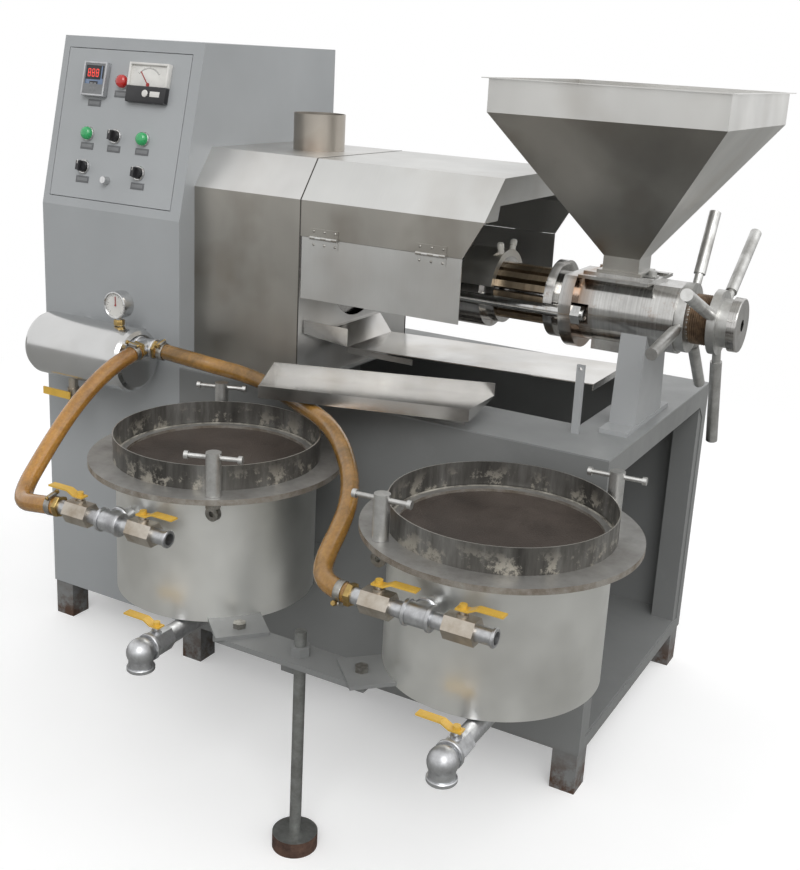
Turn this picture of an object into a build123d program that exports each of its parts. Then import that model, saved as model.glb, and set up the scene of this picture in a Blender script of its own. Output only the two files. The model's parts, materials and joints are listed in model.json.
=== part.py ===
"""Integrated screw oil press: frame, control cabinet, gearbox, press line, hopper and two vacuum
filter tanks.

Millimetres, +Z up, +X along the press towards its adjusting screw. The origin is the middle of the
sole of the front left foot.
"""
import os
from math import atan2, cos, hypot, pi, radians, sin, sqrt, tan

from build123d import *

os.makedirs("parts", exist_ok=True)

# Clearances shared by all pieces
fit_gap = 0.3
shaft_gap = 0.06
overrun = 5.0

# Frame of square tube with sheet sides and a sheet table
table_height = 668.0
table_sheet = 3.0
sheet = 2.5
frame_depth = 640.0
foot_size = 50.0
foot_wall = 4.0
apron_bottom = 84.0
rail_height = 26.0
rail_width = 25.0
middle_leg_gap = 7.0
window_border = 26.0
window_top_border = 42.0
window_corner = 29.0
shelf_thickness = 4.0
left = -(sheet + foot_size / 2)
front = -(sheet + foot_size / 2)
back = front + frame_depth
leg_top = table_height - table_sheet
shelf_top = apron_bottom + rail_height + shelf_thickness

# Control cabinet with a sloping front door
cabinet_width = 375.0
cabinet_set_in = 80.0
cabinet_depth = frame_depth - cabinet_set_in
cabinet_height = 1320.0
slope_bottom = 971.0
slope_run = 82.0
cabinet_right = left + cabinet_width
cabinet_back = front + cabinet_depth
slope_rise = cabinet_height - slope_bottom
slope_length = hypot(slope_rise, slope_run)
slope_turn = atan2(slope_rise, slope_run)
panel = Plane(
    origin=(left, front, slope_bottom),
    x_dir=(1, 0, 0),
    z_dir=(0, -sin(slope_turn), cos(slope_turn)),
)

# Door of the control cabinet and what it carries, placed from the door's lower left corner
door_left = 18.0
door_bottom = 20.0
door_width = 329.0
door_height = 313.0
door_sheet = 2.0
door_seam = 1.5
door_return = 12.0
door_lip = 14.0
door_middle_share = 153.0 / 329.0
door_right_share = 235.5 / 329.0
door_left_share = 85.5 / 329.0
meter_row_share = 249.0 / 313.0
lamp_row_share = 136.0 / 313.0
switch_row_share = 66.5 / 313.0
knob_row_share = 43.0 / 313.0
meter_shift_share = 3.5 / 329.0
lamp_shift_share = 8.0 / 329.0
selector_shift_share = 7.0 / 329.0
controller_width = 62.0
controller_height = 70.0
controller_proud = 12.0
controller_depth = 60.0
controller_body_share = 0.8
controller_window_share = 0.55
controller_window_rise_share = 0.12
controller_body_width = controller_width * controller_body_share
controller_body_height = controller_height * controller_body_share
ammeter_width = 103.0
ammeter_height = 80.0
ammeter_proud = 12.0
ammeter_depth = 45.0
ammeter_scale_share = 0.60
ammeter_body_share = 0.7
ammeter_body_width = ammeter_width * ammeter_body_share
ammeter_body_height = ammeter_height * ammeter_body_share
ammeter_recess = 4.0
pointer_length = 34.0
pointer_width = 1.6
pointer_thickness = 1.0
pointer_hub_radius = 4.0
pointer_lift = 0.5
pointer_rest_turn = 130.0
lamp_radius = 15.0
lamp_lens_radius = 11.0
lamp_lens_height = 8.0
bezel_height = 4.0
instrument_hole_radius = 11.0
instrument_tail = 40.0
selector_radius = 11.5
selector_height = 9.0
selector_grip = 8.0
selector_grip_height = 9.0
selector_stem_radius = 5.0
lock_knob_radius = 9.0
lock_knob_height = 14.0
lock_stem_radius = 4.0
lock_cam_length = 22.0

# Press line: the shaft and the cover sections around it
shaft_set_back = 270.0
shaft_rise = 213.0
shaft_y = front + shaft_set_back
shaft_z = table_height + shaft_rise
cover_half_width = 222.0
cover_shoulder = 159.0
cover_top_inset_share = 0.6
cover_shoulder_inset_share = 0.4
cover_top_half_width = 166.0
cover_top = 235.0
cover_sheet = 2.0
housing_length = 260.0
housing_hole_radius = 104.0
hood_bottom = 89.0
hood_length_bottom = 354.0
hood_length_shoulder = 394.0
hood_length_top = 403.0
hood_header = 50.0
housing_left = cabinet_right
housing_right = housing_left + housing_length
flap_height = 122.0
flap_gap = 5.0
flap_length = 349.0
flap_hinge_length = 62.0
flap_hinge_places_share = (0.15, 0.82)
flap_leaf = 18.0
flap_leaf_sheet = 1.5
flap_barrel_radius = 3.5
flap_pin_radius = 1.5
exhaust_radius = 54.0
exhaust_wall = 1.5
exhaust_height = 75.0
exhaust_offset = 107.5

# Gearbox: a split case round a gear and a pinion
gear_module = 6.0
gear_root_share = 1.25
gear_flank_shares = (0.0, 0.45, 1.0)
main_teeth = 45
pinion_teeth = 15
gear_width = 60.0
gear_backlash = 0.5
case_offset = 25.0
case_length = 200.0
case_wall = 14.0
case_room = 6.0
case_flange = 14.0
case_flange_thickness = 10.0
main_shaft_radius = 32.0
main_bearing_radius = 58.0
pinion_shaft_radius = 18.0
pinion_bearing_radius = 36.0
pressure_turn = radians(20)
main_pitch_radius = gear_module * main_teeth / 2
pinion_pitch_radius = gear_module * pinion_teeth / 2
centre_distance = main_pitch_radius + pinion_pitch_radius
pinion_y = shaft_y + centre_distance * cos(pi / 4)
pinion_z = shaft_z - centre_distance * sin(pi / 4)
case_left = cabinet_right + case_offset
case_right = case_left + case_length

# Belt drive and machines on the shelf
belt_count = 3
belt_pitch = 16.0
belt_width = 12.0
belt_thickness = 9.0
big_pulley_radius = 110.0
small_pulley_radius = 45.0
pulley_rim = 4.0
pulley_offset = 65.0
motor_shaft_rise = 112.0
motor_radius = 96.0
motor_length = 300.0
motor_y = shaft_y
motor_z = shelf_top + motor_shaft_rise
motor_shaft_radius = 14.0
motor_fin_count = 12
motor_bell_share = 0.15
motor_body_start_share = 0.2
motor_fins_share = 0.6
motor_box_start_share = 0.25
motor_box_end_share = 0.35
motor_nose_share = 0.1
motor_fin_depth = 8.0
pump_radius = 62.0
pump_length = 230.0
pump_gap = 150.0
pump_lift = 16.0
pump_plate = 8.0
pump_drive_radius = 48.0
pump_drive_length = 138.0
pump_foot_inset = 24.0
pump_foot_width = 64.0
pump_port_offset = 70.0
pump_port_height = 92.0

# Press cage, feed block and adjusting screw along the shaft
bore_radius = 41.0
cage_flange_radius = 118.0
cage_flange_thickness = 20.0
cage_radius = 78.0
cage_length = 365.0
cage_rim_radius = 66.0
cage_rim_length = 26.0
bar_count = 16
bar_length = 108.0
bar_height = 14.0
bar_width = 13.0
ring_radius = 75.0
ring_thickness = 18.0
neck_radius = 54.0
neck_length = 19.0
feed_flange_radius = 88.0
feed_flange_thickness = 25.0
feed_radius = 70.0
feed_length = 190.0
feed_flat = 59.0
feed_opening = 70.0
feed_opening_offset = 36.0
feed_screw_depth = 50.0
saddle_length = 112.0
saddle_width = 70.0
saddle_drop = 81.0
saddle_height = 26.0
lock_radius = 65.0
lock_thickness = 18.0
thread_radius = 45.0
thread_length = 40.0
hub_radius = 60.0
hub_thickness = 15.0
screw_neck_length = 19.0
cap_radius = 50.0
cap_thickness = 17.0
cap_hole_radius = 11.0
screw_lead = 4.0
lever_radius = 11.0
lever_neck_radius = 8.0
lever_neck_length = 22.0
lever_seat_depth = 12.0
lock_lever_length = 212.0
hub_lever_length = 254.0
lock_lever_turns = (61.0, 188.0, 312.0)
hub_lever_turns = (34.0, 160.0, 285.0)
worm_root_radius = 27.0
worm_flight_radius = 40.0
worm_flight_count = 9
worm_flight_share = 0.35
worm_tail_radius = 20.0
rod_radius = 11.5
rod_reach = 72.0
rod_drop = 11.0
rod_notch = 1.0
rod_nut_size = 34.0
rod_nut_room_share = 1.2
rod_nut_thickness = 18.0
cage_left = case_right
cage_right = cage_left + cage_flange_thickness + cage_length
ring_left = cage_right + bar_length
ring_right = ring_left + ring_thickness
flange_left = ring_right + neck_length
flange_right = flange_left + feed_flange_thickness
feed_right = flange_right + feed_length
lock_left = feed_right + fit_gap
lock_right = lock_left + lock_thickness
hub_left = lock_right + thread_length
hub_right = hub_left + hub_thickness
cap_left = hub_right + screw_neck_length
cap_right = cap_left + cap_thickness
feed_top = shaft_z + feed_flat
feed_middle = flange_right + feed_opening_offset + feed_opening / 2

# Pedestal under the feed block and the table round it
pedestal_inset = 71.0
pedestal_length = 50.0
pedestal_bottom_width = 158.0
pedestal_top_width = 125.0
pedestal_base_width = 255.0
pedestal_base_overhang = 2.0
pedestal_base_thickness = 8.0
table_margin = 21.0
opening_gap = 15.0
opening_right_gap = 44.0
opening_front = 162.0
opening_back = 60.0
post_width = 15.0
post_thickness = 6.0
post_height = 130.0
post_inset = 56.0
post_set_back = 106.0
post_hole_radius = 3.5
pedestal_x = feed_right - pedestal_inset
right = pedestal_x + pedestal_length / 2 + table_margin
frame_length = right - left

# Hopper and its slide gate
hopper_size = 425.0
hopper_band = 59.0
hopper_height = 341.0
hopper_cone = 251.0
hopper_sheet = 1.5
hopper_rim = 10.0
hopper_flange_side = 8.0
hopper_flange_thickness = 5.0
gate_base_left = 66.0
gate_base_right = 68.0
gate_base_half_width = 78.0
gate_base_thickness = 6.0
gate_thickness = 3.0
gate_room = 0.4
gate_margin = 4.0
gate_tab_length = 22.0
gate_tab_width = 24.0
gate_knob_radius = 8.0
gate_knob_height = 9.0
gate_knob_inset = 9.0
guide_width = 11.0
neck_x = feed_middle
gate_floor = feed_top + gate_base_thickness
gate_bottom = gate_floor + gate_room
gate_top = gate_bottom + gate_thickness
guide_top = gate_top + gate_room
hopper_bottom = guide_top
gate_travel = feed_opening

# Filter tanks hung in front of the frame
tank_radius = 180.0
tank_wall = 2.0
tank_gap = 62.0
tank_left_offset = 665.0
tank_spacing = 567.0
tank_drop = 304.0
tank_height = 233.5
tank_flange_radius = 228.0
tank_flange_thickness = 5.0
tank_ring_radius = 185.0
tank_ring_height = 43.5
tank_ledge_radius = 166.0
tank_step = 5.0
tank_bed_thickness = 5.0
tank_bed_gap = 1.0
tank_y = front - tank_gap - tank_radius
tank_left_x = left + tank_left_offset
tank_right_x = tank_left_x + tank_spacing
tank_bottom = table_height - tank_drop
tank_flange_bottom = tank_bottom + tank_height
tank_joint = tank_flange_bottom + tank_flange_thickness
tank_flange_top = tank_joint + tank_flange_thickness
tank_ring_top = tank_flange_top + tank_ring_height

# Clamps round the filter tanks
clamp_circle = 207.0
clamp_stud_radius = 6.0
clamp_hole_gap = 1.0
clamp_sleeve_radius = 13.0
clamp_sleeve_height = 75.0
clamp_thread_depth = 34.0
clamp_bar_radius = 4.0
clamp_bar_length = 92.0
clamp_bar_drop = 9.0
clamp_ball_radius = 7.0
clamp_nut_size = 24.0
clamp_nut_thickness = 11.0
clamp_eye_radius = 13.0
clamp_eye_thickness = 10.0
clamp_eye_hole_radius = 5.0
left_clamp_turns = (-54.0, 126.0)
right_clamp_turns = (-129.0, 51.0)

# Brackets and jack under the filter tanks
bracket_width = 50.0
bracket_thickness = 6.0
bracket_height = 90.0
bracket_reach = 150.0
bracket_rib_share = 0.8
bracket_spread = 150.0
bar_rise = 2.0
carrier_thickness = 10.0
carrier_width = 65.0
carrier_front = 189.0
carrier_overlap = 24.0
lug_thickness = 6.0
lug_width = 92.0
lug_reach = 250.0
lug_root_share = 0.8
lug_bolt_circle = 220.0
lug_bolt_radius = 6.0
lug_nut_size = 20.0
lug_nut_thickness = 9.0
left_lug_turn = -42.0
right_lug_turn = -135.0
jack_radius = 10.0
jack_foot_radius = 39.0
jack_foot_height = 28.0
jack_above = 26.0
jack_nut_size = 30.0
jack_nut_thickness = 16.0
jack_offset = 11.0
jack_gusset_depth = 30.0
jack_gusset_width = 26.0
carrier_top = tank_bottom + bar_rise
carrier_bottom = carrier_top - carrier_thickness
carrier_y = tank_y - carrier_front + carrier_width / 2
jack_x = (tank_left_x + tank_right_x) / 2 + jack_offset
jack_y = carrier_y

# Vacuum tank on the cabinet and its gauge
vacuum_radius = 66.0
vacuum_stand_off = 10.0
vacuum_rise = 22.0
vacuum_inset = 75.0
vacuum_length = 259.0
vacuum_head = 12.0
saddle_thickness = 8.0
saddle_places_share = (0.2, 0.8)
saddle_height_share = 0.7
gauge_radius = 28.0
gauge_thickness = 26.0
gauge_rise = 110.0
gauge_offset_share = 207.0 / 259.0
gauge_stem_radius = 6.5
gauge_bezel = 3.0
gauge_recess = 3.0
gauge_pointer_length = 18.0
drain_offset_share = 76.0 / 259.0
drain_pipe_radius = 10.0
drain_pipe_length = 36.0
vacuum_y = front - vacuum_stand_off - vacuum_radius
vacuum_z = table_height + vacuum_rise
vacuum_left = left + vacuum_inset
vacuum_right = vacuum_left + vacuum_length

# Pipe fittings and ball valves
pipe_radius = 13.0
pipe_bore_radius = 10.0
tee_radius = 18.0
tee_length = 46.0
valve_size = 38.0
valve_length = 50.0
stem_radius = 5.0
stem_height = 10.0
stem_boss_radius = 9.0
lever_plate = 3.0
lever_width = 16.0
lever_hub_width = 20.0
lever_reach = 66.0
lever_step = 14.0
lever_nut_radius = 6.0
suction_reach = 40.0
suction_drop = 62.5
suction_y = tank_y - tank_radius - suction_reach
suction_z = tank_flange_bottom - suction_drop
suction_offset = 52.0
right_suction_offset = 25.0
suction_valve_spacing = 70.0
suction_end = 30.0
hose_end = 46.0
drain_offset = 52.0
drain_set_down = 19.0
drain_z = tank_bottom - drain_set_down
drain_pipe_outer = 16.5
drain_pipe_bore = 13.0
drain_stub_radius = 14.0
drain_elbow_radius = 24.0
drain_mouth_radius = 20.5
drain_stub_y = 58.0
drain_valve_y = 228.0
drain_elbow_y = 268.0
drain_drop = 32.0
outlet_rise = 35.0
outlet_set_out = 9.0
outlet_z = vacuum_z + outlet_rise
outlet_y = vacuum_y - outlet_set_out
outlet_reach = 23.0
outlet_neck = 30.5

# Hoses from the vacuum tank to the filter tanks, by hand-set route points
hose_radius = 16.0
hose_bend_share = 0.45


def block(x0, x1, y0, y1, z0, z1, mode=Mode.ADD):
    """A box between two corners."""
    with Locations(((x0 + x1) / 2, (y0 + y1) / 2, (z0 + z1) / 2)):
        Box(x1 - x0, y1 - y0, z1 - z0, mode=mode)


def bar_x(x0, x1, y, z, radius, mode=Mode.ADD):
    """A round bar along X."""
    with Locations(Location(((x0 + x1) / 2, y, z), (0, 90, 0))):
        Cylinder(radius, x1 - x0, mode=mode)


def bar_y(x, y0, y1, z, radius, mode=Mode.ADD):
    """A round bar along Y."""
    with Locations(Location((x, (y0 + y1) / 2, z), (90, 0, 0))):
        Cylinder(radius, y1 - y0, mode=mode)


def bar_z(x, y, z0, z1, radius, mode=Mode.ADD):
    """A round bar along Z."""
    with Locations((x, y, (z0 + z1) / 2)):
        Cylinder(radius, z1 - z0, mode=mode)


def outline(plane, points):
    """A flat face on a plane, from its corners."""
    with BuildSketch(plane) as face:
        with BuildLine():
            Polyline(*points, close=True)
        make_face()
    return face.sketch


def hexagon(plane, centre, across):
    """A hexagon on a plane, by its size across the flats."""
    with BuildSketch(plane) as face:
        with Locations(centre):
            RegularPolygon(across / 2, 6, major_radius=False)
    return face.sketch


def strip(points, thickness):
    """The closed outline of a bent sheet: a chain of points and the same chain set off to its left."""
    far_side = []
    for i, (u, v) in enumerate(points):
        normals = []
        for (u0, v0), (u1, v1) in zip(points[max(i - 1, 0):i + 1], points[max(i, 1):i + 2]):
            run = hypot(u1 - u0, v1 - v0)
            normals.append((-(v1 - v0) / run, (u1 - u0) / run))
        nu = sum(n[0] for n in normals) / len(normals)
        nv = sum(n[1] for n in normals) / len(normals)
        scale = thickness / (nu * nu + nv * nv)
        far_side.append((u + nu * scale, v + nv * scale))
    return points + far_side[::-1]


def turned_x(stations, y, z, mode=Mode.ADD):
    """A solid turned about an axis along X, from points of station and radius."""
    points = [(stations[0][0], z)] + [(x, z + r) for x, r in stations] + [(stations[-1][0], z)]
    revolve(outline(Plane.XZ.offset(-y), points), axis=Axis((0, y, z), (1, 0, 0)), mode=mode)


def turned_z(stations, x, y, mode=Mode.ADD):
    """A solid turned about an upright axis, from points of radius and height."""
    points = [(x + r, z) for r, z in stations]
    revolve(outline(Plane.XZ.offset(-y), points), axis=Axis((x, y, 0), (0, 0, 1)), mode=mode)


def keep(name, *parts):
    """Label a finished node, of one part or of several that stay separate solids, and write it."""
    node = parts[0] if len(parts) == 1 else Compound(children=list(parts))
    node.label = name
    export_step(node, f"parts/{name}.step")


# Frame legs: six square tubes closed by sole plates
middle_leg_x = cabinet_right + middle_leg_gap + foot_size / 2
right_leg_x = right - sheet - foot_size / 2
back_leg_y = back - sheet - foot_size / 2
leg_places = [(x, y) for x in (0, middle_leg_x, right_leg_x) for y in (0, back_leg_y)]
with BuildPart() as frame_legs:
    with BuildSketch():
        with Locations(*leg_places):
            Rectangle(foot_size, foot_size)
    extrude(amount=leg_top)
    with BuildSketch(Plane.XY.offset(foot_wall)):
        with Locations(*leg_places):
            Rectangle(foot_size - 2 * foot_wall, foot_size - 2 * foot_wall)
    extrude(amount=leg_top, mode=Mode.SUBTRACT)

# Frame rails: tubes between the legs, below and above
half_foot = foot_size / 2
bay_ends = [(half_foot, middle_leg_x - half_foot), (middle_leg_x + half_foot, right_leg_x - half_foot)]
front_rail = (front + sheet, front + sheet + rail_width)
back_rail = (back - sheet - rail_width, back - sheet)
with BuildPart() as frame_rails:
    for x0, x1 in bay_ends:
        for y0, y1 in (front_rail, back_rail):
            block(x0, x1, y0, y1, apron_bottom, apron_bottom + rail_height)
    block(*bay_ends[0], *back_rail, leg_top - rail_height, leg_top)
    for y0, y1 in (front_rail, back_rail):
        block(*bay_ends[1], y0, y1, leg_top - rail_height, leg_top)
    for x in (0, middle_leg_x, right_leg_x + half_foot - rail_width / 2):
        block(x - rail_width / 2, x + rail_width / 2, half_foot, back_leg_y - half_foot,
              apron_bottom, apron_bottom + rail_height)
    for x in (middle_leg_x, right_leg_x + half_foot - rail_width / 2):
        block(x - rail_width / 2, x + rail_width / 2, half_foot, back_leg_y - half_foot,
              leg_top - rail_height, leg_top)
keep("frame_tubes", frame_legs.part, frame_rails.part)

# Base shelf on the lower rails, cut round the legs
with BuildPart() as base_shelf:
    block(left + sheet, right - sheet, front + sheet, back - sheet,
          apron_bottom + rail_height, shelf_top)
    with BuildSketch(Plane.XY.offset(apron_bottom)):
        with Locations(*leg_places):
            Rectangle(foot_size, foot_size)
    extrude(amount=rail_height + shelf_thickness + overrun, mode=Mode.SUBTRACT)

# Frame panels: front and back aprons, left return and the end plate with its window
window_bottom = apron_bottom + rail_height
window_top = leg_top - window_top_border
with BuildPart() as frame_panels:
    block(cabinet_right, right - sheet, front, front + sheet, apron_bottom, leg_top)
    block(left, right - sheet, back - sheet, back, apron_bottom, leg_top)
    block(left, left + sheet, cabinet_back, back - sheet, apron_bottom, leg_top)
    with BuildSketch(Plane.YZ.offset(right - sheet)):
        with Locations(((front + back) / 2, (apron_bottom + leg_top) / 2)):
            Rectangle(frame_depth, leg_top - apron_bottom)
    extrude(amount=sheet)
    y0 = front + window_border
    y1 = back - window_border
    with BuildSketch(Plane.YZ.offset(right - sheet)):
        with BuildLine():
            Polyline(
                (y0, window_bottom),
                (y0, window_top - window_corner),
                (y0 + window_corner, window_top),
                (y1 - window_corner, window_top),
                (y1, window_top - window_corner),
                (y1, window_bottom),
                close=True,
            )
        make_face()
    extrude(amount=sheet, mode=Mode.SUBTRACT)

# Table top: an L of sheet with the opening that the cake falls through
base_left = pedestal_x - pedestal_length / 2 - pedestal_base_overhang
opening_x = (housing_right + opening_gap, base_left - opening_right_gap)
opening_y = (front + opening_front, back - opening_back)
with BuildPart() as table_top:
    with BuildSketch(Plane.XY.offset(leg_top)):
        with BuildLine():
            Polyline(
                (cabinet_right, front),
                (right, front),
                (right, back),
                (left, back),
                (left, cabinet_back),
                (cabinet_right, cabinet_back),
                close=True,
            )
        make_face()
    extrude(amount=table_sheet)
    block(*opening_x, *opening_y, leg_top - overrun, table_height + overrun, mode=Mode.SUBTRACT)
keep("table_top", table_top.part)

# Control cabinet: a folded shell, open below, with the door's opening and lips in its slope
door_right = door_left + door_width
door_top = door_bottom + door_height
with BuildPart() as control_cabinet:
    with BuildSketch(Plane.YZ.offset(left)):
        with BuildLine():
            Polyline(
                (front, apron_bottom),
                (front, slope_bottom),
                (front + slope_run, cabinet_height),
                (cabinet_back, cabinet_height),
                (cabinet_back, apron_bottom),
                close=True,
            )
        make_face()
    extrude(amount=cabinet_width)
    offset(amount=-sheet, openings=control_cabinet.faces().sort_by(Axis.Z)[0])
    # Lips behind the door, joined to the slope
    with BuildSketch(panel.offset(-door_sheet - door_return - sheet)):
        with Locations(((door_left + door_right) / 2, (door_bottom + door_top) / 2)):
            Rectangle(door_width + 2 * (door_seam + sheet), door_height + 2 * (door_seam + sheet))
            Rectangle(door_width - 2 * door_lip, door_height - 2 * door_lip, mode=Mode.SUBTRACT)
    extrude(amount=door_sheet + door_return + sheet - sheet / 2)
    with BuildSketch(panel.offset(-door_sheet - door_return)):
        with Locations(((door_left + door_right) / 2, (door_bottom + door_top) / 2)):
            Rectangle(door_width + 2 * door_seam, door_height + 2 * door_seam)
    extrude(amount=door_sheet + door_return + overrun, mode=Mode.SUBTRACT)
    # Below the table the cabinet and the base are one room
    block(left + sheet, cabinet_right + overrun, front + sheet, cabinet_back + overrun,
          apron_bottom - overrun, leg_top, mode=Mode.SUBTRACT)
    # Hole for the pinion shaft
    bar_x(cabinet_right - sheet - overrun, cabinet_right + overrun, pinion_y, pinion_z,
          pinion_shaft_radius + overrun, mode=Mode.SUBTRACT)
keep("control_cabinet", control_cabinet.part)

# Cabinet door: a pan with returned edges, hung at its top edge
meter_w = door_bottom + door_height * meter_row_share
lamp_w = door_bottom + door_height * lamp_row_share
switch_w = door_bottom + door_height * switch_row_share
knob_w = door_bottom + door_height * knob_row_share
left_u = door_left + door_width * door_left_share
middle_u = door_left + door_width * door_middle_share
right_u = door_left + door_width * door_right_share
controller_at = (left_u + door_width * meter_shift_share, meter_w)
ammeter_at = (right_u - door_width * meter_shift_share, meter_w)
power_lamp_at = (middle_u + door_width * lamp_shift_share, meter_w)
lamps_at = (power_lamp_at, (left_u, lamp_w), (right_u, lamp_w))
selectors_at = {
    "selector_middle": (middle_u + door_width * selector_shift_share, lamp_w),
    "selector_left": (left_u, switch_w),
    "selector_right": (right_u, switch_w),
}
knob_at = (middle_u, knob_w)
door_mid = ((door_left + door_right) / 2, (door_bottom + door_top) / 2)
with BuildPart() as cabinet_door:
    with BuildSketch(panel.offset(-door_sheet)):
        with Locations(door_mid):
            Rectangle(door_width, door_height)
    extrude(amount=door_sheet)
    with BuildSketch(panel.offset(-door_sheet - door_return + fit_gap)):
        with Locations(door_mid):
            Rectangle(door_width, door_height)
            Rectangle(door_width - 2 * door_sheet, door_height - 2 * door_sheet, mode=Mode.SUBTRACT)
    extrude(amount=door_return - fit_gap)
    with BuildSketch(panel.offset(-door_sheet)):
        with Locations(*lamps_at, *selectors_at.values()):
            Circle(instrument_hole_radius)
        with Locations(knob_at):
            Circle(lock_stem_radius + fit_gap)
        with Locations(controller_at):
            Rectangle(controller_body_width, controller_body_height)
        with Locations(ammeter_at):
            Rectangle(ammeter_body_width, ammeter_body_height)
    extrude(amount=door_sheet, mode=Mode.SUBTRACT)
keep("cabinet_door", cabinet_door.part)

# Temperature controller with its window
with BuildPart() as temperature_controller:
    with BuildSketch(panel):
        with Locations(controller_at):
            Rectangle(controller_width, controller_height)
    extrude(amount=controller_proud)
    with BuildSketch(panel.offset(-controller_depth)):
        with Locations(controller_at):
            Rectangle(controller_body_width - 2 * fit_gap, controller_body_height - 2 * fit_gap)
    extrude(amount=controller_depth)
    with BuildSketch(panel.offset(controller_proud - bezel_height / 2)):
        window_rise = controller_height * controller_window_rise_share
        with Locations((controller_at[0], controller_at[1] + window_rise)):
            Rectangle(controller_body_width, controller_height * controller_window_share)
    extrude(amount=overrun, mode=Mode.SUBTRACT)

# Ammeter: a case with a recessed scale over a dark skirt
scale_height = ammeter_height * ammeter_scale_share
scale_w = ammeter_at[1] + (ammeter_height - scale_height) / 2
pointer_pivot = (ammeter_at[0], scale_w - scale_height / 2 + pointer_hub_radius + pointer_lift)
with BuildPart() as ammeter:
    with BuildSketch(panel):
        with Locations(ammeter_at):
            Rectangle(ammeter_width, ammeter_height)
    extrude(amount=ammeter_proud)
    with BuildSketch(panel.offset(-ammeter_depth)):
        with Locations(ammeter_at):
            Rectangle(ammeter_body_width - 2 * fit_gap, ammeter_body_height - 2 * fit_gap)
    extrude(amount=ammeter_depth)
    with BuildSketch(panel.offset(ammeter_proud - ammeter_recess)):
        with Locations((ammeter_at[0], scale_w)):
            Rectangle(ammeter_width - 2 * bezel_height, scale_height)
    extrude(amount=overrun, mode=Mode.SUBTRACT)
keep("panel_meters", temperature_controller.part, ammeter.part)

with BuildPart() as ammeter_pointer:
    with BuildSketch(panel.offset(ammeter_proud - ammeter_recess + pointer_lift)):
        with Locations(pointer_pivot):
            Circle(pointer_hub_radius)
            with PolarLocations(pointer_length / 2, 1, start_angle=pointer_rest_turn):
                Rectangle(pointer_length, pointer_width)
    extrude(amount=pointer_thickness)
keep("ammeter_pointer", ammeter_pointer.part)

# Indicator lamps: a bezel, a lens and a tail through the door
with BuildPart() as indicator_lamps:
    with BuildSketch(panel):
        with Locations(*lamps_at):
            Circle(lamp_radius)
    extrude(amount=bezel_height)
    with BuildSketch(panel.offset(bezel_height)):
        with Locations(*lamps_at):
            Circle(lamp_lens_radius)
    extrude(amount=lamp_lens_height, taper=20)
    with BuildSketch(panel.offset(-instrument_tail)):
        with Locations(*lamps_at):
            Circle(instrument_hole_radius - fit_gap)
    extrude(amount=instrument_tail)

# Selector switch bodies with their bezels, and the three turning knobs
with BuildPart() as selector_bodies:
    with BuildSketch(panel):
        with Locations(*selectors_at.values()):
            Circle(lamp_radius)
    extrude(amount=bezel_height)
    with BuildSketch(panel.offset(-instrument_tail)):
        with Locations(*selectors_at.values()):
            Circle(instrument_hole_radius - fit_gap)
    extrude(amount=instrument_tail)
    with BuildSketch(panel.offset(-instrument_tail / 2)):
        with Locations(*selectors_at.values()):
            Circle(selector_stem_radius + shaft_gap)
    extrude(amount=instrument_tail, mode=Mode.SUBTRACT)
keep("panel_switches", indicator_lamps.part, selector_bodies.part)

for selector_name, selector_at in selectors_at.items():
    with BuildPart() as selector:
        with BuildSketch(panel.offset(bezel_height + fit_gap)):
            with Locations(selector_at):
                Circle(selector_radius)
        extrude(amount=selector_height)
        with BuildSketch(panel.offset(bezel_height + fit_gap + selector_height)):
            with Locations(selector_at):
                Rectangle(selector_grip, 2 * selector_radius - selector_grip / 2)
        extrude(amount=selector_grip_height)
        with BuildSketch(panel.offset(-instrument_tail / 2 + fit_gap)):
            with Locations(selector_at):
                Circle(selector_stem_radius)
        extrude(amount=instrument_tail / 2 + bezel_height)
    keep(selector_name, selector.part)

# Door lock knob with its stem and cam
with BuildPart() as door_knob:
    with BuildSketch(panel.offset(fit_gap)):
        with Locations(knob_at):
            Circle(lock_knob_radius)
    extrude(amount=lock_knob_height, taper=8)
    with BuildSketch(panel.offset(-door_sheet - door_return + sheet)):
        with Locations(knob_at):
            Circle(lock_stem_radius)
    extrude(amount=door_sheet + door_return - sheet + fit_gap)
    with BuildSketch(panel.offset(-door_sheet - door_return + fit_gap)):
        with Locations((knob_at[0] + lock_cam_length / 2, knob_at[1])):
            Rectangle(lock_cam_length + 2 * lock_stem_radius, 2 * lock_stem_radius)
    extrude(amount=sheet)
keep("door_knob", door_knob.part)

# Gearbox housing: a folded cover with chamfered shoulders, open at the bottom and to the cabinet
cover_points = [
    (shaft_y - cover_half_width, shaft_z + cover_shoulder),
    (shaft_y - cover_top_half_width, shaft_z + cover_top),
    (shaft_y + cover_top_half_width, shaft_z + cover_top),
    (shaft_y + cover_half_width, shaft_z + cover_shoulder),
]
exhaust_x = housing_right - exhaust_offset
exhaust_bottom = shaft_z + cover_top
with BuildPart() as gearbox_housing:
    with BuildSketch(Plane.YZ.offset(housing_left)):
        with BuildLine():
            Polyline(
                (shaft_y - cover_half_width, table_height),
                *cover_points,
                (shaft_y + cover_half_width, table_height),
                close=True,
            )
        make_face()
    extrude(amount=housing_length)
    housing_ends = [
        gearbox_housing.faces().sort_by(Axis.Z)[0],
        gearbox_housing.faces().sort_by(Axis.X)[0],
    ]
    offset(amount=-cover_sheet, openings=housing_ends)
    bar_x(housing_right - cover_sheet - overrun, housing_right + overrun, shaft_y, shaft_z,
          housing_hole_radius, mode=Mode.SUBTRACT)
    bar_z(exhaust_x, shaft_y, exhaust_bottom - cover_sheet, exhaust_bottom + overrun,
          exhaust_radius - exhaust_wall, mode=Mode.SUBTRACT)

# Cage hood: the same section, open below and at its slanted end under a header band
hood_bottom_z = shaft_z + hood_bottom
hood_stations = [
    (hood_length_bottom, hood_bottom_z),
    (hood_length_shoulder, shaft_z + cover_shoulder),
    (hood_length_top, shaft_z + cover_top),
]


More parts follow.
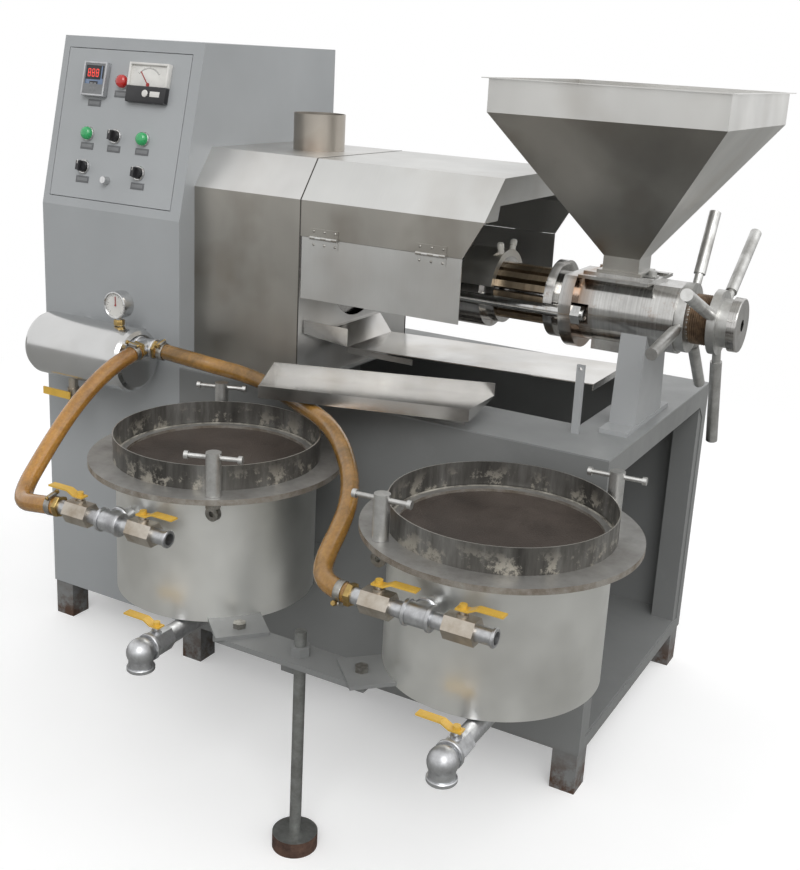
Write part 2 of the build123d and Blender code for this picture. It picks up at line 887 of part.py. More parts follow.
def hood_solid(inset):
    """The hood's outer form, or the hollow inside it, cut to its slanted end."""
    half_width = cover_half_width - inset
    top_half_width = cover_top_half_width - inset * cover_top_inset_share
    with BuildPart() as form:
        extrude(
            outline(
                Plane.YZ.offset(housing_right),
                [
                    (shaft_y - half_width, hood_bottom_z - overrun),
                    (shaft_y - half_width, shaft_z + cover_shoulder - inset * cover_shoulder_inset_share),
                    (shaft_y - top_half_width, shaft_z + cover_top - inset),
                    (shaft_y + top_half_width, shaft_z + cover_top - inset),
                    (shaft_y + half_width, shaft_z + cover_shoulder - inset * cover_shoulder_inset_share),
                    (shaft_y + half_width, hood_bottom_z - overrun),
                ],
            ),
            amount=hood_length_top + overrun,
        )
        edge = [(housing_right + x - inset, z) for x, z in hood_stations]
        far = housing_right + hood_length_top + 3 * overrun
        keep_side = outline(
            Plane.XZ.offset(-shaft_y),
            edge + [
                (edge[-1][0], edge[-1][1] + overrun),
                (far, edge[-1][1] + overrun),
                (far, hood_bottom_z - 3 * overrun),
                (edge[0][0], hood_bottom_z - 3 * overrun),
            ],
        )
        extrude(keep_side, amount=cover_half_width + overrun, both=True, mode=Mode.SUBTRACT)
    return form.part


with BuildPart() as cage_hood:
    add(hood_solid(0.0))
    add(hood_solid(cover_sheet), mode=Mode.SUBTRACT)
    block(housing_right - overrun, housing_right + hood_length_top + overrun,
          shaft_y - cover_half_width + cover_sheet, shaft_y + cover_half_width - cover_sheet,
          hood_bottom_z - 2 * overrun, shaft_z + cover_shoulder - cover_sheet, mode=Mode.SUBTRACT)
    block(housing_right + hood_length_shoulder - 4 * overrun, housing_right + hood_length_top + overrun,
          shaft_y - cover_top_half_width, shaft_y + cover_top_half_width,
          shaft_z + cover_shoulder - 2 * cover_sheet, shaft_z + cover_top - hood_header,
          mode=Mode.SUBTRACT)
    block(housing_right - overrun, housing_right + hood_length_top + overrun,
          shaft_y - cover_half_width - overrun, shaft_y + cover_half_width + overrun,
          hood_bottom_z - 2 * overrun, hood_bottom_z, mode=Mode.SUBTRACT)

# Exhaust pipe for steam, standing on the gearbox housing
with BuildPart() as exhaust_pipe:
    bar_z(exhaust_x, shaft_y, exhaust_bottom, exhaust_bottom + exhaust_height, exhaust_radius)
    bar_z(exhaust_x, shaft_y, exhaust_bottom, exhaust_bottom + exhaust_height,
          exhaust_radius - exhaust_wall, mode=Mode.SUBTRACT)
keep("gearbox_housing", gearbox_housing.part, exhaust_pipe.part)

# Hood flaps on hinges: fixed leaves with pins on the hood, moving leaves on the flaps
flap_left = housing_right + flap_gap
hinge_middles = [flap_left + flap_length * share for share in flap_hinge_places_share]
hinge_z = hood_bottom_z
knuckle = flap_hinge_length / 5


def hinge_leaf(side, fixed):
    """One leaf of each hinge of a flap, with its knuckles, on the front (-1) or the back (1)."""
    axis_y = shaft_y + side * (cover_half_width + flap_barrel_radius)
    wall_y = shaft_y + side * cover_half_width
    y0, y1 = sorted((wall_y, wall_y + side * flap_leaf_sheet))
    turn = 1 if fixed else -1
    for middle in hinge_middles:
        start = middle - flap_hinge_length / 2
        z0, z1 = sorted((hinge_z + turn * fit_gap, hinge_z + turn * flap_leaf))
        for i in range(5):
            if (i % 2 == 0) == fixed:
                x0 = start + i * knuckle + fit_gap / 2
                x1 = start + (i + 1) * knuckle - fit_gap / 2
                bar_x(x0, x1, axis_y, hinge_z, flap_barrel_radius)
                block(x0, x1, y0, y1, z0, z1)
        inner = hinge_z + turn * (flap_barrel_radius + fit_gap)
        z0, z1 = sorted((inner, hinge_z + turn * flap_leaf))
        block(start, start + flap_hinge_length, y0, y1, z0, z1)
        bar_x(start - overrun, start + flap_hinge_length + overrun, axis_y, hinge_z,
              flap_pin_radius + shaft_gap, mode=Mode.SUBTRACT)


with BuildPart() as hood_hinges:
    hinge_leaf(-1, True)
    hinge_leaf(1, True)
    for side in (-1, 1):
        for middle in hinge_middles:
            bar_x(middle - flap_hinge_length / 2, middle + flap_hinge_length / 2,
                  shaft_y + side * (cover_half_width + flap_barrel_radius), hinge_z, flap_pin_radius)
keep("cage_hood", cage_hood.part, hood_hinges.part)

for flap_name, side in (("hood_front_door", -1), ("hood_back_door", 1)):
    outer_y = shaft_y + side * cover_half_width
    y0, y1 = sorted((outer_y, outer_y - side * cover_sheet))
    with BuildPart() as flap:
        block(flap_left, flap_left + flap_length, y0, y1, hinge_z - fit_gap - flap_height,
              hinge_z - 2 * fit_gap)
        hinge_leaf(side, False)
    keep(flap_name, flap.part)

# Gearbox case in two halves on foot rails, hollow round the gears
case_reach = main_pitch_radius + gear_module + case_room + case_wall
pinion_reach = pinion_pitch_radius + gear_module + case_room + case_wall
case_y = (shaft_y - case_reach, pinion_y + pinion_reach)
case_z = (pinion_z - pinion_reach, shaft_z + case_reach)
with BuildPart() as case_hollow:
    block(case_left + case_wall, case_right - case_wall, case_y[0] + case_wall, case_y[1] - case_wall,
          case_z[0] + case_wall, case_z[1] - case_wall)
    bar_x(case_left - overrun, case_right + overrun, shaft_y, shaft_z, main_bearing_radius)
    bar_x(case_left - overrun, case_right + overrun, pinion_y, pinion_z, pinion_bearing_radius)
with BuildPart() as gearbox_lower_case:
    block(case_left, case_right, *case_y, case_z[0], shaft_z)
    fillet(gearbox_lower_case.edges().filter_by(Axis.X).group_by(Axis.Z)[0], case_wall)
    block(case_left, case_right, case_y[0] - case_flange, case_y[1] + case_flange,
          shaft_z - case_flange_thickness, shaft_z)
    for y in (case_y[0] + case_wall, case_y[1] - case_wall - case_reach / 2):
        block(case_left, case_right, y, y + case_reach / 2, table_height, case_z[0] + case_wall / 2)
    add(case_hollow.part, mode=Mode.SUBTRACT)
with BuildPart() as gearbox_upper_case:
    block(case_left, case_right, *case_y, shaft_z, case_z[1])
    fillet(gearbox_upper_case.edges().filter_by(Axis.X).group_by(Axis.Z)[-1], 3 * case_wall)
    block(case_left, case_right, case_y[0] - case_flange, case_y[1] + case_flange,
          shaft_z, shaft_z + case_flange_thickness)
    add(case_hollow.part, mode=Mode.SUBTRACT)
keep("gearbox_case", gearbox_lower_case.part, gearbox_upper_case.part)

# Bearings: one ring in each wall of the case for each shaft
with BuildPart() as shaft_bearings:
    for x in (case_left, case_right - case_wall):
        bar_x(x, x + case_wall, shaft_y, shaft_z, main_bearing_radius - shaft_gap)
        bar_x(x, x + case_wall, shaft_y, shaft_z, main_shaft_radius + shaft_gap, mode=Mode.SUBTRACT)
        bar_x(x, x + case_wall, pinion_y, pinion_z, pinion_bearing_radius - shaft_gap)
        bar_x(x, x + case_wall, pinion_y, pinion_z, pinion_shaft_radius + shaft_gap, mode=Mode.SUBTRACT)
keep("shaft_bearings", shaft_bearings.part)


def involute(base_radius, radius):
    """The turn of an involute flank at a radius."""
    roll = sqrt(max((radius / base_radius) ** 2 - 1, 0.0))
    return roll - atan2(roll, 1.0)


def gear_points(teeth, centre, phase):
    """The outline of a gear with involute flanks, thinned by the backlash."""
    pitch_radius = gear_module * teeth / 2
    base_radius = pitch_radius * cos(pressure_turn)
    root_radius = pitch_radius - gear_module * gear_root_share
    tip_radius = pitch_radius + gear_module
    start_radius = max(root_radius, base_radius)
    half_tooth = pi / (2 * teeth) - gear_backlash / (2 * pitch_radius)
    half_tooth += involute(base_radius, pitch_radius)
    radii = [start_radius + (tip_radius - start_radius) * share for share in gear_flank_shares]
    flank = [(r, half_tooth - involute(base_radius, r)) for r in radii]
    if root_radius < base_radius:
        flank = [(root_radius, flank[0][1])] + flank
    tooth = [(r, -turn) for r, turn in flank] + [(r, turn) for r, turn in flank[::-1]]
    points = []
    for i in range(teeth):
        middle = phase + 2 * pi * i / teeth
        points += [
            (centre[0] + r * cos(middle + turn), centre[1] + r * sin(middle + turn))
            for r, turn in tooth
        ]
    return points


# Main gear and the worm shaft that it turns
gear_left = (case_left + case_right - gear_width) / 2
mesh_turn = -pi / 4
with BuildPart() as main_gear:
    with BuildSketch(Plane.YZ.offset(gear_left)):
        with BuildLine():
            Polyline(*gear_points(main_teeth, (shaft_y, shaft_z), mesh_turn), close=True)
        make_face()
    extrude(amount=gear_width)
    bar_x(gear_left, gear_left + gear_width, shaft_y, shaft_z, main_shaft_radius, mode=Mode.SUBTRACT)

worm_left = cage_left + cage_flange_thickness
worm_right = flange_right + feed_opening_offset + feed_opening
flight_pitch = (worm_right - worm_left) / worm_flight_count
flight_width = flight_pitch * worm_flight_share
worm_stations = [(case_left - case_wall, main_shaft_radius), (cage_left, main_shaft_radius),
                 (cage_left, worm_root_radius)]
for flight in range(worm_flight_count):
    flight_middle = worm_left + (flight + 0.5) * flight_pitch
    worm_stations += [
        (flight_middle - flight_width / 2, worm_root_radius),
        (flight_middle - flight_width / 4, worm_flight_radius),
        (flight_middle + flight_width / 4, worm_flight_radius),
        (flight_middle + flight_width / 2, worm_root_radius),
    ]
worm_stations += [(worm_right, worm_root_radius), (worm_right, worm_tail_radius),
                  (hub_left, worm_tail_radius)]
with BuildPart() as worm_shaft:
    turned_x(worm_stations, shaft_y, shaft_z)
keep("worm_shaft", worm_shaft.part, main_gear.part)

# Pinion shaft with its pinion, and the big pulley inside the cabinet
pulley_width = belt_count * belt_pitch + pulley_rim
pulley_right = cabinet_right - sheet - pulley_offset
pulley_left = pulley_right - pulley_width
with BuildPart() as pinion_shaft:
    with BuildSketch(Plane.YZ.offset(gear_left)):
        with BuildLine():
            Polyline(
                *gear_points(
                    pinion_teeth,
                    (pinion_y, pinion_z),
                    mesh_turn + pi + pi / pinion_teeth,
                ),
                close=True,
            )
        make_face()
    extrude(amount=gear_width)
    bar_x(pulley_left - overrun, case_right, pinion_y, pinion_z, pinion_shaft_radius)


def grooved_pulley(y, z, radius, bore_radius):
    """A pulley with straight grooves, one for each belt."""
    bar_x(pulley_left, pulley_right, y, z, radius + pulley_rim)
    for groove in range(belt_count):
        x0 = pulley_left + pulley_rim + groove * belt_pitch
        bar_x(x0, x0 + belt_pitch - pulley_rim, y, z, radius + 2 * pulley_rim, mode=Mode.SUBTRACT)
        bar_x(x0, x0 + belt_pitch - pulley_rim, y, z, radius - belt_thickness / 2)
    bar_x(pulley_left - overrun, pulley_right + overrun, y, z, bore_radius, mode=Mode.SUBTRACT)


with BuildPart() as big_pulley:
    grooved_pulley(pinion_y, pinion_z, big_pulley_radius, pinion_shaft_radius)
keep("pinion_shaft", pinion_shaft.part, big_pulley.part)
with BuildPart() as motor_pulley:
    grooved_pulley(motor_y, motor_z, small_pulley_radius, motor_shaft_radius)
    bar_x(pulley_left, cabinet_right, motor_y, motor_z, motor_shaft_radius)
keep("motor_pulley", motor_pulley.part)

# Drive belts: closed loops in the grooves of both pulleys
with BuildPart() as drive_belts:
    for groove in range(belt_count):
        x0 = pulley_left + pulley_rim + groove * belt_pitch + (belt_pitch - pulley_rim - belt_width) / 2
        for grow, mode in ((belt_thickness / 2, Mode.ADD), (-belt_thickness / 2 + fit_gap, Mode.SUBTRACT)):
            with BuildSketch(Plane.YZ.offset(x0 + fit_gap)) as loop:
                with Locations((pinion_y, pinion_z)):
                    Circle(big_pulley_radius + grow)
                with Locations((motor_y, motor_z)):
                    Circle(small_pulley_radius + grow)
                make_hull()
            extrude(amount=belt_width - 2 * fit_gap, mode=mode)
keep("drive_belts", drive_belts.part)

# Motor on the shelf: a finned body, end bells, feet and a terminal box
motor_left = cabinet_right
motor_right = motor_left + motor_length
motor_body_left = motor_left + motor_length * motor_body_start_share
motor_body_right = motor_right - motor_length * motor_body_start_share
motor_box_left = motor_left + motor_length * motor_box_start_share
motor_box_right = motor_right - motor_length * motor_box_end_share
fin_pitch = motor_length * motor_fins_share / motor_fin_count
with BuildPart() as motor:
    bar_x(motor_left, motor_right, motor_y, motor_z, motor_radius - motor_fin_depth)
    for fin in range(motor_fin_count):
        x0 = motor_body_left + fin * fin_pitch
        bar_x(x0, x0 + fin_pitch / 2, motor_y, motor_z, motor_radius)
    bar_x(motor_left, motor_left + motor_length * motor_bell_share, motor_y, motor_z, motor_radius)
    bar_x(motor_right - motor_length * motor_bell_share, motor_right, motor_y, motor_z, motor_radius)
    block(motor_body_left, motor_body_right,
          motor_y - motor_radius, motor_y + motor_radius, shelf_top, shelf_top + motor_fin_depth)
    block(motor_body_left, motor_body_right,
          motor_y - motor_radius / 2, motor_y + motor_radius / 2, shelf_top,
          motor_z - motor_radius / 2)
    block(motor_box_left, motor_box_right,
          motor_y - motor_radius / 2, motor_y + motor_radius / 2,
          motor_z, motor_z + motor_radius + 4 * motor_fin_depth)
    bar_x(motor_left - overrun, motor_left + motor_length * motor_nose_share, motor_y, motor_z,
          motor_shaft_radius + shaft_gap, mode=Mode.SUBTRACT)
keep("motor", motor.part)

# Vacuum pump: a pump body on a foot with its own motor behind
pump_left = motor_right + pump_gap
pump_z = shelf_top + pump_lift + pump_radius
with BuildPart() as vacuum_pump:
    bar_x(pump_left, pump_left + pump_length, motor_y, pump_z, pump_radius)
    bar_x(pump_left + pump_length, pump_left + pump_length + pump_drive_length, motor_y, pump_z,
          pump_drive_radius)
    block(pump_left, pump_left + pump_length + pump_drive_length, motor_y - pump_radius,
          motor_y + pump_radius, shelf_top, shelf_top + pump_plate)
    block(pump_left + pump_foot_inset, pump_left + pump_length - pump_foot_inset,
          motor_y - pump_foot_width / 2, motor_y + pump_foot_width / 2, shelf_top, pump_z)
    bar_z(pump_left + pump_port_offset, motor_y, pump_z, pump_z + pump_port_height, pipe_radius)
keep("vacuum_pump", vacuum_pump.part)

# Press cage: the flanged barrel on the gearbox and the ring that ends the bars
rods_at = [(shaft_y + side * rod_reach, shaft_z - rod_drop) for side in (-1, 1)]
with BuildPart() as press_cage:
    turned_x(
        [
            (cage_left, cage_flange_radius),
            (cage_left + cage_flange_thickness, cage_flange_radius),
            (cage_left + cage_flange_thickness, cage_radius),
            (cage_right - cage_rim_length, cage_radius),
            (cage_right - cage_rim_length, cage_rim_radius),
            (cage_right, cage_rim_radius),
        ],
        shaft_y, shaft_z,
    )
    bar_x(cage_left - overrun, cage_right + overrun, shaft_y, shaft_z, bore_radius, mode=Mode.SUBTRACT)
    for y, z in rods_at:
        bar_x(cage_left + cage_flange_thickness, cage_right + overrun, y, z, rod_radius + rod_notch,
              mode=Mode.SUBTRACT)

with BuildPart() as cage_ring:
    bar_x(ring_left, ring_right, shaft_y, shaft_z, ring_radius)
    bar_x(ring_left - overrun, ring_right + overrun, shaft_y, shaft_z, bore_radius, mode=Mode.SUBTRACT)
    for y, z in rods_at:
        bar_x(ring_left - overrun, ring_right + overrun, y, z, rod_radius + rod_notch,
              mode=Mode.SUBTRACT)
keep("press_cage", press_cage.part, cage_ring.part)

# Cage bars with the slits that the oil runs out through
bar_middle = bore_radius + bar_height / 2 + fit_gap
with BuildPart() as cage_bars:
    with BuildSketch(Plane.YZ.offset(cage_right)):
        with Locations((shaft_y, shaft_z)):
            with PolarLocations(bar_middle, bar_count):
                Rectangle(bar_height, bar_width)
    extrude(amount=bar_length)
keep("cage_bars", cage_bars.part)

# Tie rods from the cage's flange to nuts behind the feed flange
with BuildPart() as tie_rods:
    for y, z in rods_at:
        bar_x(cage_left + cage_flange_thickness, flange_right + rod_nut_thickness + overrun, y, z,
              rod_radius)
        extrude(hexagon(Plane.YZ.offset(flange_right), (y, z), rod_nut_size), amount=rod_nut_thickness)
keep("tie_rods", tie_rods.part)

# Feed block: neck, flange, feed cylinder with its flat top, opening, saddle and screw bore
with BuildPart() as feed_block:
    turned_x(
        [
            (ring_right, neck_radius),
            (flange_left, neck_radius),
            (flange_left, feed_flange_radius),
            (flange_right, feed_flange_radius),
            (flange_right, feed_radius),
            (feed_right, feed_radius),
        ],
        shaft_y, shaft_z,
    )
    block(feed_right - feed_screw_depth - saddle_length, feed_right - feed_screw_depth,
          shaft_y - saddle_width / 2, shaft_y + saddle_width / 2,
          shaft_z - saddle_drop, shaft_z - saddle_drop + saddle_height)
    block(flange_left - overrun, feed_right + overrun, shaft_y - 2 * feed_radius,
          shaft_y + 2 * feed_radius, feed_top, feed_top + 2 * feed_radius, mode=Mode.SUBTRACT)
    bar_x(ring_right - overrun, feed_right + overrun, shaft_y, shaft_z, bore_radius,
          mode=Mode.SUBTRACT)
    bar_x(feed_right - feed_screw_depth, feed_right + overrun, shaft_y, shaft_z,
          thread_radius + shaft_gap, mode=Mode.SUBTRACT)
    block(feed_middle - feed_opening / 2, feed_middle + feed_opening / 2,
          shaft_y - feed_opening / 2, shaft_y + feed_opening / 2, shaft_z, feed_top + overrun,
          mode=Mode.SUBTRACT)
    for y, z in rods_at:
        bar_x(flange_left - overrun, flange_right + overrun, y, z, rod_radius + shaft_gap,
              mode=Mode.SUBTRACT)
        bar_x(flange_right, flange_right + rod_nut_thickness + 2 * overrun, y, z,
              rod_nut_size / 2 * rod_nut_room_share, mode=Mode.SUBTRACT)


def levers(x, turns, hub, length):
    """Round levers screwed into the rim of a hub, each with a thinner neck."""
    for turn in turns:
        direction = Vector(0, cos(radians(turn)), sin(radians(turn)))
        centre = Vector(x, shaft_y, shaft_z)
        rim = centre + direction * hub
        rod = Plane(origin=centre + direction * (hub - lever_seat_depth), z_dir=direction)
        with BuildSketch(rod) as neck:
            Circle(lever_neck_radius)
        extrude(neck.sketch, amount=lever_seat_depth + lever_neck_length)
        with BuildSketch(Plane(origin=rim + direction * lever_neck_length, z_dir=direction)) as grip:
            Circle(lever_radius)
        extrude(grip.sketch, amount=length - hub - lever_neck_length)


# Lock ring with its three levers, and the adjusting screw with its three longer ones
with BuildPart() as lock_ring:
    bar_x(lock_left, lock_right, shaft_y, shaft_z, lock_radius)
    levers((lock_left + lock_right) / 2, lock_lever_turns, lock_radius, lock_lever_length)
    bar_x(lock_left - overrun, lock_right + overrun, shaft_y, shaft_z, thread_radius + shaft_gap,
          mode=Mode.SUBTRACT)
keep("lock_ring", lock_ring.part)

with BuildPart() as adjusting_screw:
    turned_x(
        [
            (feed_right - feed_screw_depth + overrun, thread_radius),
            (hub_left, thread_radius),
            (hub_left, hub_radius),
            (hub_right, hub_radius),
            (hub_right, thread_radius),
            (cap_left - fit_gap, thread_radius),
        ],
        shaft_y, shaft_z,
    )
    levers((hub_left + hub_right) / 2, hub_lever_turns, hub_radius, hub_lever_length)
    bar_x(feed_right - feed_screw_depth, hub_left + overrun + screw_lead, shaft_y, shaft_z,
          worm_tail_radius + shaft_gap, mode=Mode.SUBTRACT)
    bar_x(hub_left, cap_right, shaft_y, shaft_z, cap_hole_radius + foot_wall + shaft_gap,
          mode=Mode.SUBTRACT)
keep("adjusting_screw", adjusting_screw.part)

with BuildPart() as end_cap:
    bar_x(cap_left, cap_right, shaft_y, shaft_z, cap_radius)
    fillet(end_cap.edges().sort_by(Axis.X)[-1], hopper_flange_thickness / 2)
    bar_x(hub_right, cap_left + overrun, shaft_y, shaft_z, cap_hole_radius + foot_wall)
    bar_x(hub_right - overrun, cap_right + overrun, shaft_y, shaft_z, cap_hole_radius,
          mode=Mode.SUBTRACT)
keep("end_cap", end_cap.part)

# Pedestal: base plate, tapered body hollowed to the feed cylinder, and the thin post beside it
saddle_bottom = shaft_z - saddle_drop
pedestal_bottom = table_height + pedestal_base_thickness
with BuildPart() as pedestal:
    block(base_left, pedestal_x + pedestal_length / 2 + pedestal_base_overhang,
          shaft_y - pedestal_base_width / 2, shaft_y + pedestal_base_width / 2,
          table_height, pedestal_bottom)
    with BuildSketch(Plane.XY.offset(pedestal_bottom)):
        with Locations((pedestal_x, shaft_y)):
            Rectangle(pedestal_length, pedestal_bottom_width)
    with BuildSketch(Plane.XY.offset(shaft_z - feed_radius / 2)):
        with Locations((pedestal_x, shaft_y)):
            Rectangle(pedestal_length, pedestal_top_width)
    loft()
    bar_x(base_left - overrun, feed_right, shaft_y, shaft_z, feed_radius, mode=Mode.SUBTRACT)
    block(base_left - overrun, feed_right - feed_screw_depth,
          shaft_y - saddle_width / 2, shaft_y + saddle_width / 2, saddle_bottom, shaft_z,
          mode=Mode.SUBTRACT)

post_x = base_left - opening_right_gap + post_width / 2 + post_thickness / 2
post_y = front + post_set_back
with BuildPart() as locating_post:
    block(post_x - post_width / 2, post_x + post_width / 2, post_y, post_y + post_thickness,
          table_height, table_height + post_height)
    bar_y(post_x, post_y - overrun, post_y + post_thickness + overrun,
          table_height + post_height - post_width / 2, post_hole_radius, mode=Mode.SUBTRACT)
keep("pedestal", pedestal.part, locating_post.part)

# Slide gate: base plate with guides on the feed block, and the gate with its knob
gate_half_width = feed_opening / 2 + gate_margin
gate_left = neck_x - feed_opening / 2 - gate_margin
gate_right = neck_x + feed_opening / 2 + gate_margin
with BuildPart() as gate_frame:
    block(neck_x - gate_base_left, neck_x + gate_base_right, shaft_y - gate_base_half_width,
          shaft_y + gate_base_half_width, feed_top, gate_floor)
    for side in (-1, 1):
        y0, y1 = sorted((shaft_y + side * (gate_half_width + fit_gap),
                         shaft_y + side * (gate_half_width + fit_gap + guide_width)))
        block(neck_x - gate_base_left, neck_x + gate_base_right, y0, y1, gate_floor, guide_top)
    block(neck_x - feed_opening / 2, neck_x + feed_opening / 2, shaft_y - feed_opening / 2,
          shaft_y + feed_opening / 2, feed_top - overrun, gate_floor + overrun, mode=Mode.SUBTRACT)
keep("feed_block", feed_block.part, gate_frame.part)

with BuildPart() as hopper_gate:
    block(gate_left, gate_right, shaft_y - gate_half_width, shaft_y + gate_half_width,
          gate_bottom, gate_top)
    block(gate_right, gate_right + gate_tab_length, shaft_y - gate_tab_width / 2,
          shaft_y + gate_tab_width / 2, gate_bottom, gate_top)
    bar_z(gate_right + gate_tab_length - gate_knob_inset, shaft_y, gate_top,
          gate_top + gate_knob_height, gate_knob_radius)
keep("hopper_gate", hopper_gate.part)

# Hopper: band, pyramid, square neck, rim and foot flange, all of sheet
hopper_top = hopper_bottom + hopper_height
band_bottom = hopper_top - hopper_band
cone_bottom = band_bottom - hopper_cone
hopper_plate = feed_opening / 2 + hopper_flange_side


def hopper_form(inset, extra):
    """The hopper's outer form, or the hollow inside it."""
    with BuildPart() as form:
        half = hopper_size / 2 - inset
        neck = feed_opening / 2 - inset
        block(neck_x - half, neck_x + half, shaft_y - half, shaft_y + half, band_bottom,
              hopper_top + extra)
        with BuildSketch(Plane.XY.offset(cone_bottom)) as low:
            with Locations((neck_x, shaft_y)):
                Rectangle(2 * neck, 2 * neck)
        with BuildSketch(Plane.XY.offset(band_bottom)) as high:
            with Locations((neck_x, shaft_y)):
                Rectangle(2 * half, 2 * half)
        loft([low.sketch, high.sketch])
        block(neck_x - neck, neck_x + neck, shaft_y - neck, shaft_y + neck, hopper_bottom - extra,
              cone_bottom)
    return form.part


with BuildPart() as hopper:
    add(hopper_form(0.0, 0.0))
    block(neck_x - hopper_size / 2 - hopper_rim, neck_x + hopper_size / 2 + hopper_rim,
          shaft_y - hopper_size / 2 - hopper_rim, shaft_y + hopper_size / 2 + hopper_rim,
          hopper_top - hopper_sheet, hopper_top)
    block(neck_x - hopper_plate, neck_x + hopper_plate, shaft_y - hopper_plate,
          shaft_y + hopper_plate, hopper_bottom, hopper_bottom + hopper_flange_thickness)
    add(hopper_form(hopper_sheet, overrun), mode=Mode.SUBTRACT)
keep("hopper", hopper.part)

# Oil pan: a bent sheet under the cage that stands on the table at its right end
pan_half_width = 92.0
pan_sheet = 2.0
pan_rise = 58.0
pan_left_rise = 96.0
pan_right_rise = 77.0
pan_lip = 11.0
pan_foot_width = 40.0
pan_fall_shares = (0.012, 0.064, 0.335)
pan_right = opening_x[1] + opening_right_gap / 4
pan_run = pan_right - housing_right
pan_front = shaft_y - pan_half_width
pan_stations = [housing_right + pan_run * share for share in pan_fall_shares]
pan_points = [
    (housing_right, table_height + pan_left_rise),
    (pan_stations[0], table_height + pan_left_rise),
    (pan_stations[1], table_height + pan_rise),
    (pan_stations[2], table_height + pan_rise + pan_lip / 2),
    (pan_right, table_height + pan_right_rise),
    (pan_right, table_height),
]
with BuildPart() as oil_pan:
    with BuildSketch(Plane.XZ.offset(-(shaft_y + pan_half_width))):
        with BuildLine():
            Polyline(*strip(pan_points, pan_sheet), close=True)
        make_face()
    extrude(amount=2 * pan_half_width)
    block(pan_right - pan_lip, pan_right + pan_lip, pan_front - overrun,
          pan_front + 2 * pan_half_width - pan_foot_width, table_height - overrun,
          table_height + pan_right_rise - pan_lip, mode=Mode.SUBTRACT)
    block(pan_stations[1], pan_stations[2], pan_front, pan_front + pan_sheet,
          table_height + pan_rise - pan_lip, table_height + pan_rise + pan_sheet / 2)
keep("oil_pan", oil_pan.part)

# Oil gutter: floor, back wall, front lip and the foot that stands on the table
gutter_sheet = 2.0
gutter_rise = 45.0
gutter_wall = 26.0
gutter_lip = 24.0
gutter_z = table_height + gutter_rise
gutter_lip_start = 676.0
gutter_lip_end = 1058.0
gutter_wall_start = 652.0
gutter_wall_end = 1055.0
gutter_lip_overhang = 138.0
gutter_end_overhang = 23.0
gutter_wall_overhang = 54.0
gutter_end_inset = 90.0
gutter_foot_start = 930.0
gutter_foot_end = 1030.0
gutter_foot_inset = 20.0
gutter_corners = [
    (left + gutter_lip_start, front - gutter_lip_overhang),
    (left + gutter_lip_end, front - gutter_end_overhang),
    (left + gutter_wall_end, front + gutter_end_inset),
    (left + gutter_wall_start, front - gutter_wall_overhang),
]
gutter_foot_x = (left + gutter_foot_start, left + gutter_foot_end)
gutter_foot_y = front + gutter_foot_inset


def sheet_between(start, end, z0, z1, thickness):
    """An upright sheet from one corner to another, set off to the left of that way."""
    run = hypot(end[0] - start[0], end[1] - start[1])
    off = (-(end[1] - start[1]) / run * thickness, (end[0] - start[0]) / run * thickness)
    corners = [start, end, (end[0] + off[0], end[1] + off[1]), (start[0] + off[0], start[1] + off[1])]
    extrude(outline(Plane.XY.offset(z0), corners), amount=z1 - z0)


with BuildPart() as oil_gutter:
    extrude(outline(Plane.XY.offset(gutter_z), gutter_corners), amount=gutter_sheet)
    sheet_between(gutter_corners[2], gutter_corners[3], gutter_z, gutter_z + gutter_wall, gutter_sheet)
    sheet_between(gutter_corners[0], gutter_corners[1], gutter_z + gutter_sheet - gutter_lip,
                  gutter_z + gutter_sheet, gutter_sheet)
    block(*gutter_foot_x, gutter_foot_y, gutter_foot_y + gutter_sheet, table_height, gutter_z)
keep("oil_gutter", oil_gutter.part)

# Vacuum tank on two saddles, its gauge and pointer
outlet_x = vacuum_right + outlet_neck
vacuum_stations = [
    (vacuum_left, vacuum_radius - vacuum_head),
    (vacuum_left + vacuum_head / 3, vacuum_radius - vacuum_head / 3),
    (vacuum_left + vacuum_head, vacuum_radius),
    (vacuum_right - vacuum_head, vacuum_radius),
    (vacuum_right - vacuum_head / 3, vacuum_radius - vacuum_head / 3),
    (vacuum_right, vacuum_radius - vacuum_head),
]
with BuildPart() as vacuum_tank:
    turned_x(vacuum_stations, vacuum_y, vacuum_z)
    bar_x(vacuum_left + 2 * tank_wall, vacuum_right - 2 * tank_wall, vacuum_y, vacuum_z,
          vacuum_radius - vacuum_head, mode=Mode.SUBTRACT)
    bar_x(vacuum_right - vacuum_head, vacuum_right + overrun, outlet_y, outlet_z, pipe_bore_radius,
          mode=Mode.SUBTRACT)
    for share in saddle_places_share:
        x = vacuum_left + (vacuum_right - vacuum_left) * share
        block(x - saddle_thickness / 2, x + saddle_thickness / 2, vacuum_y + vacuum_radius / 2, front,
              vacuum_z - vacuum_radius * saddle_height_share, vacuum_z + vacuum_radius * saddle_height_share)

gauge_x = vacuum_left + (vacuum_right - vacuum_left) * gauge_offset_share
gauge_z = vacuum_z + gauge_rise
with BuildPart() as vacuum_gauge:
    bar_y(gauge_x, vacuum_y - gauge_thickness / 2, vacuum_y + gauge_thickness / 2, gauge_z, gauge_radius)
    bar_y(gauge_x, vacuum_y - gauge_thickness / 2 - overrun,
          vacuum_y - gauge_thickness / 2 + gauge_recess, gauge_z, gauge_radius - gauge_bezel,
          mode=Mode.SUBTRACT)
    bar_z(gauge_x, vacuum_y, vacuum_z + vacuum_radius, gauge_z - gauge_radius + gauge_bezel,
          gauge_stem_radius)
keep("vacuum_tank", vacuum_tank.part, vacuum_gauge.part)

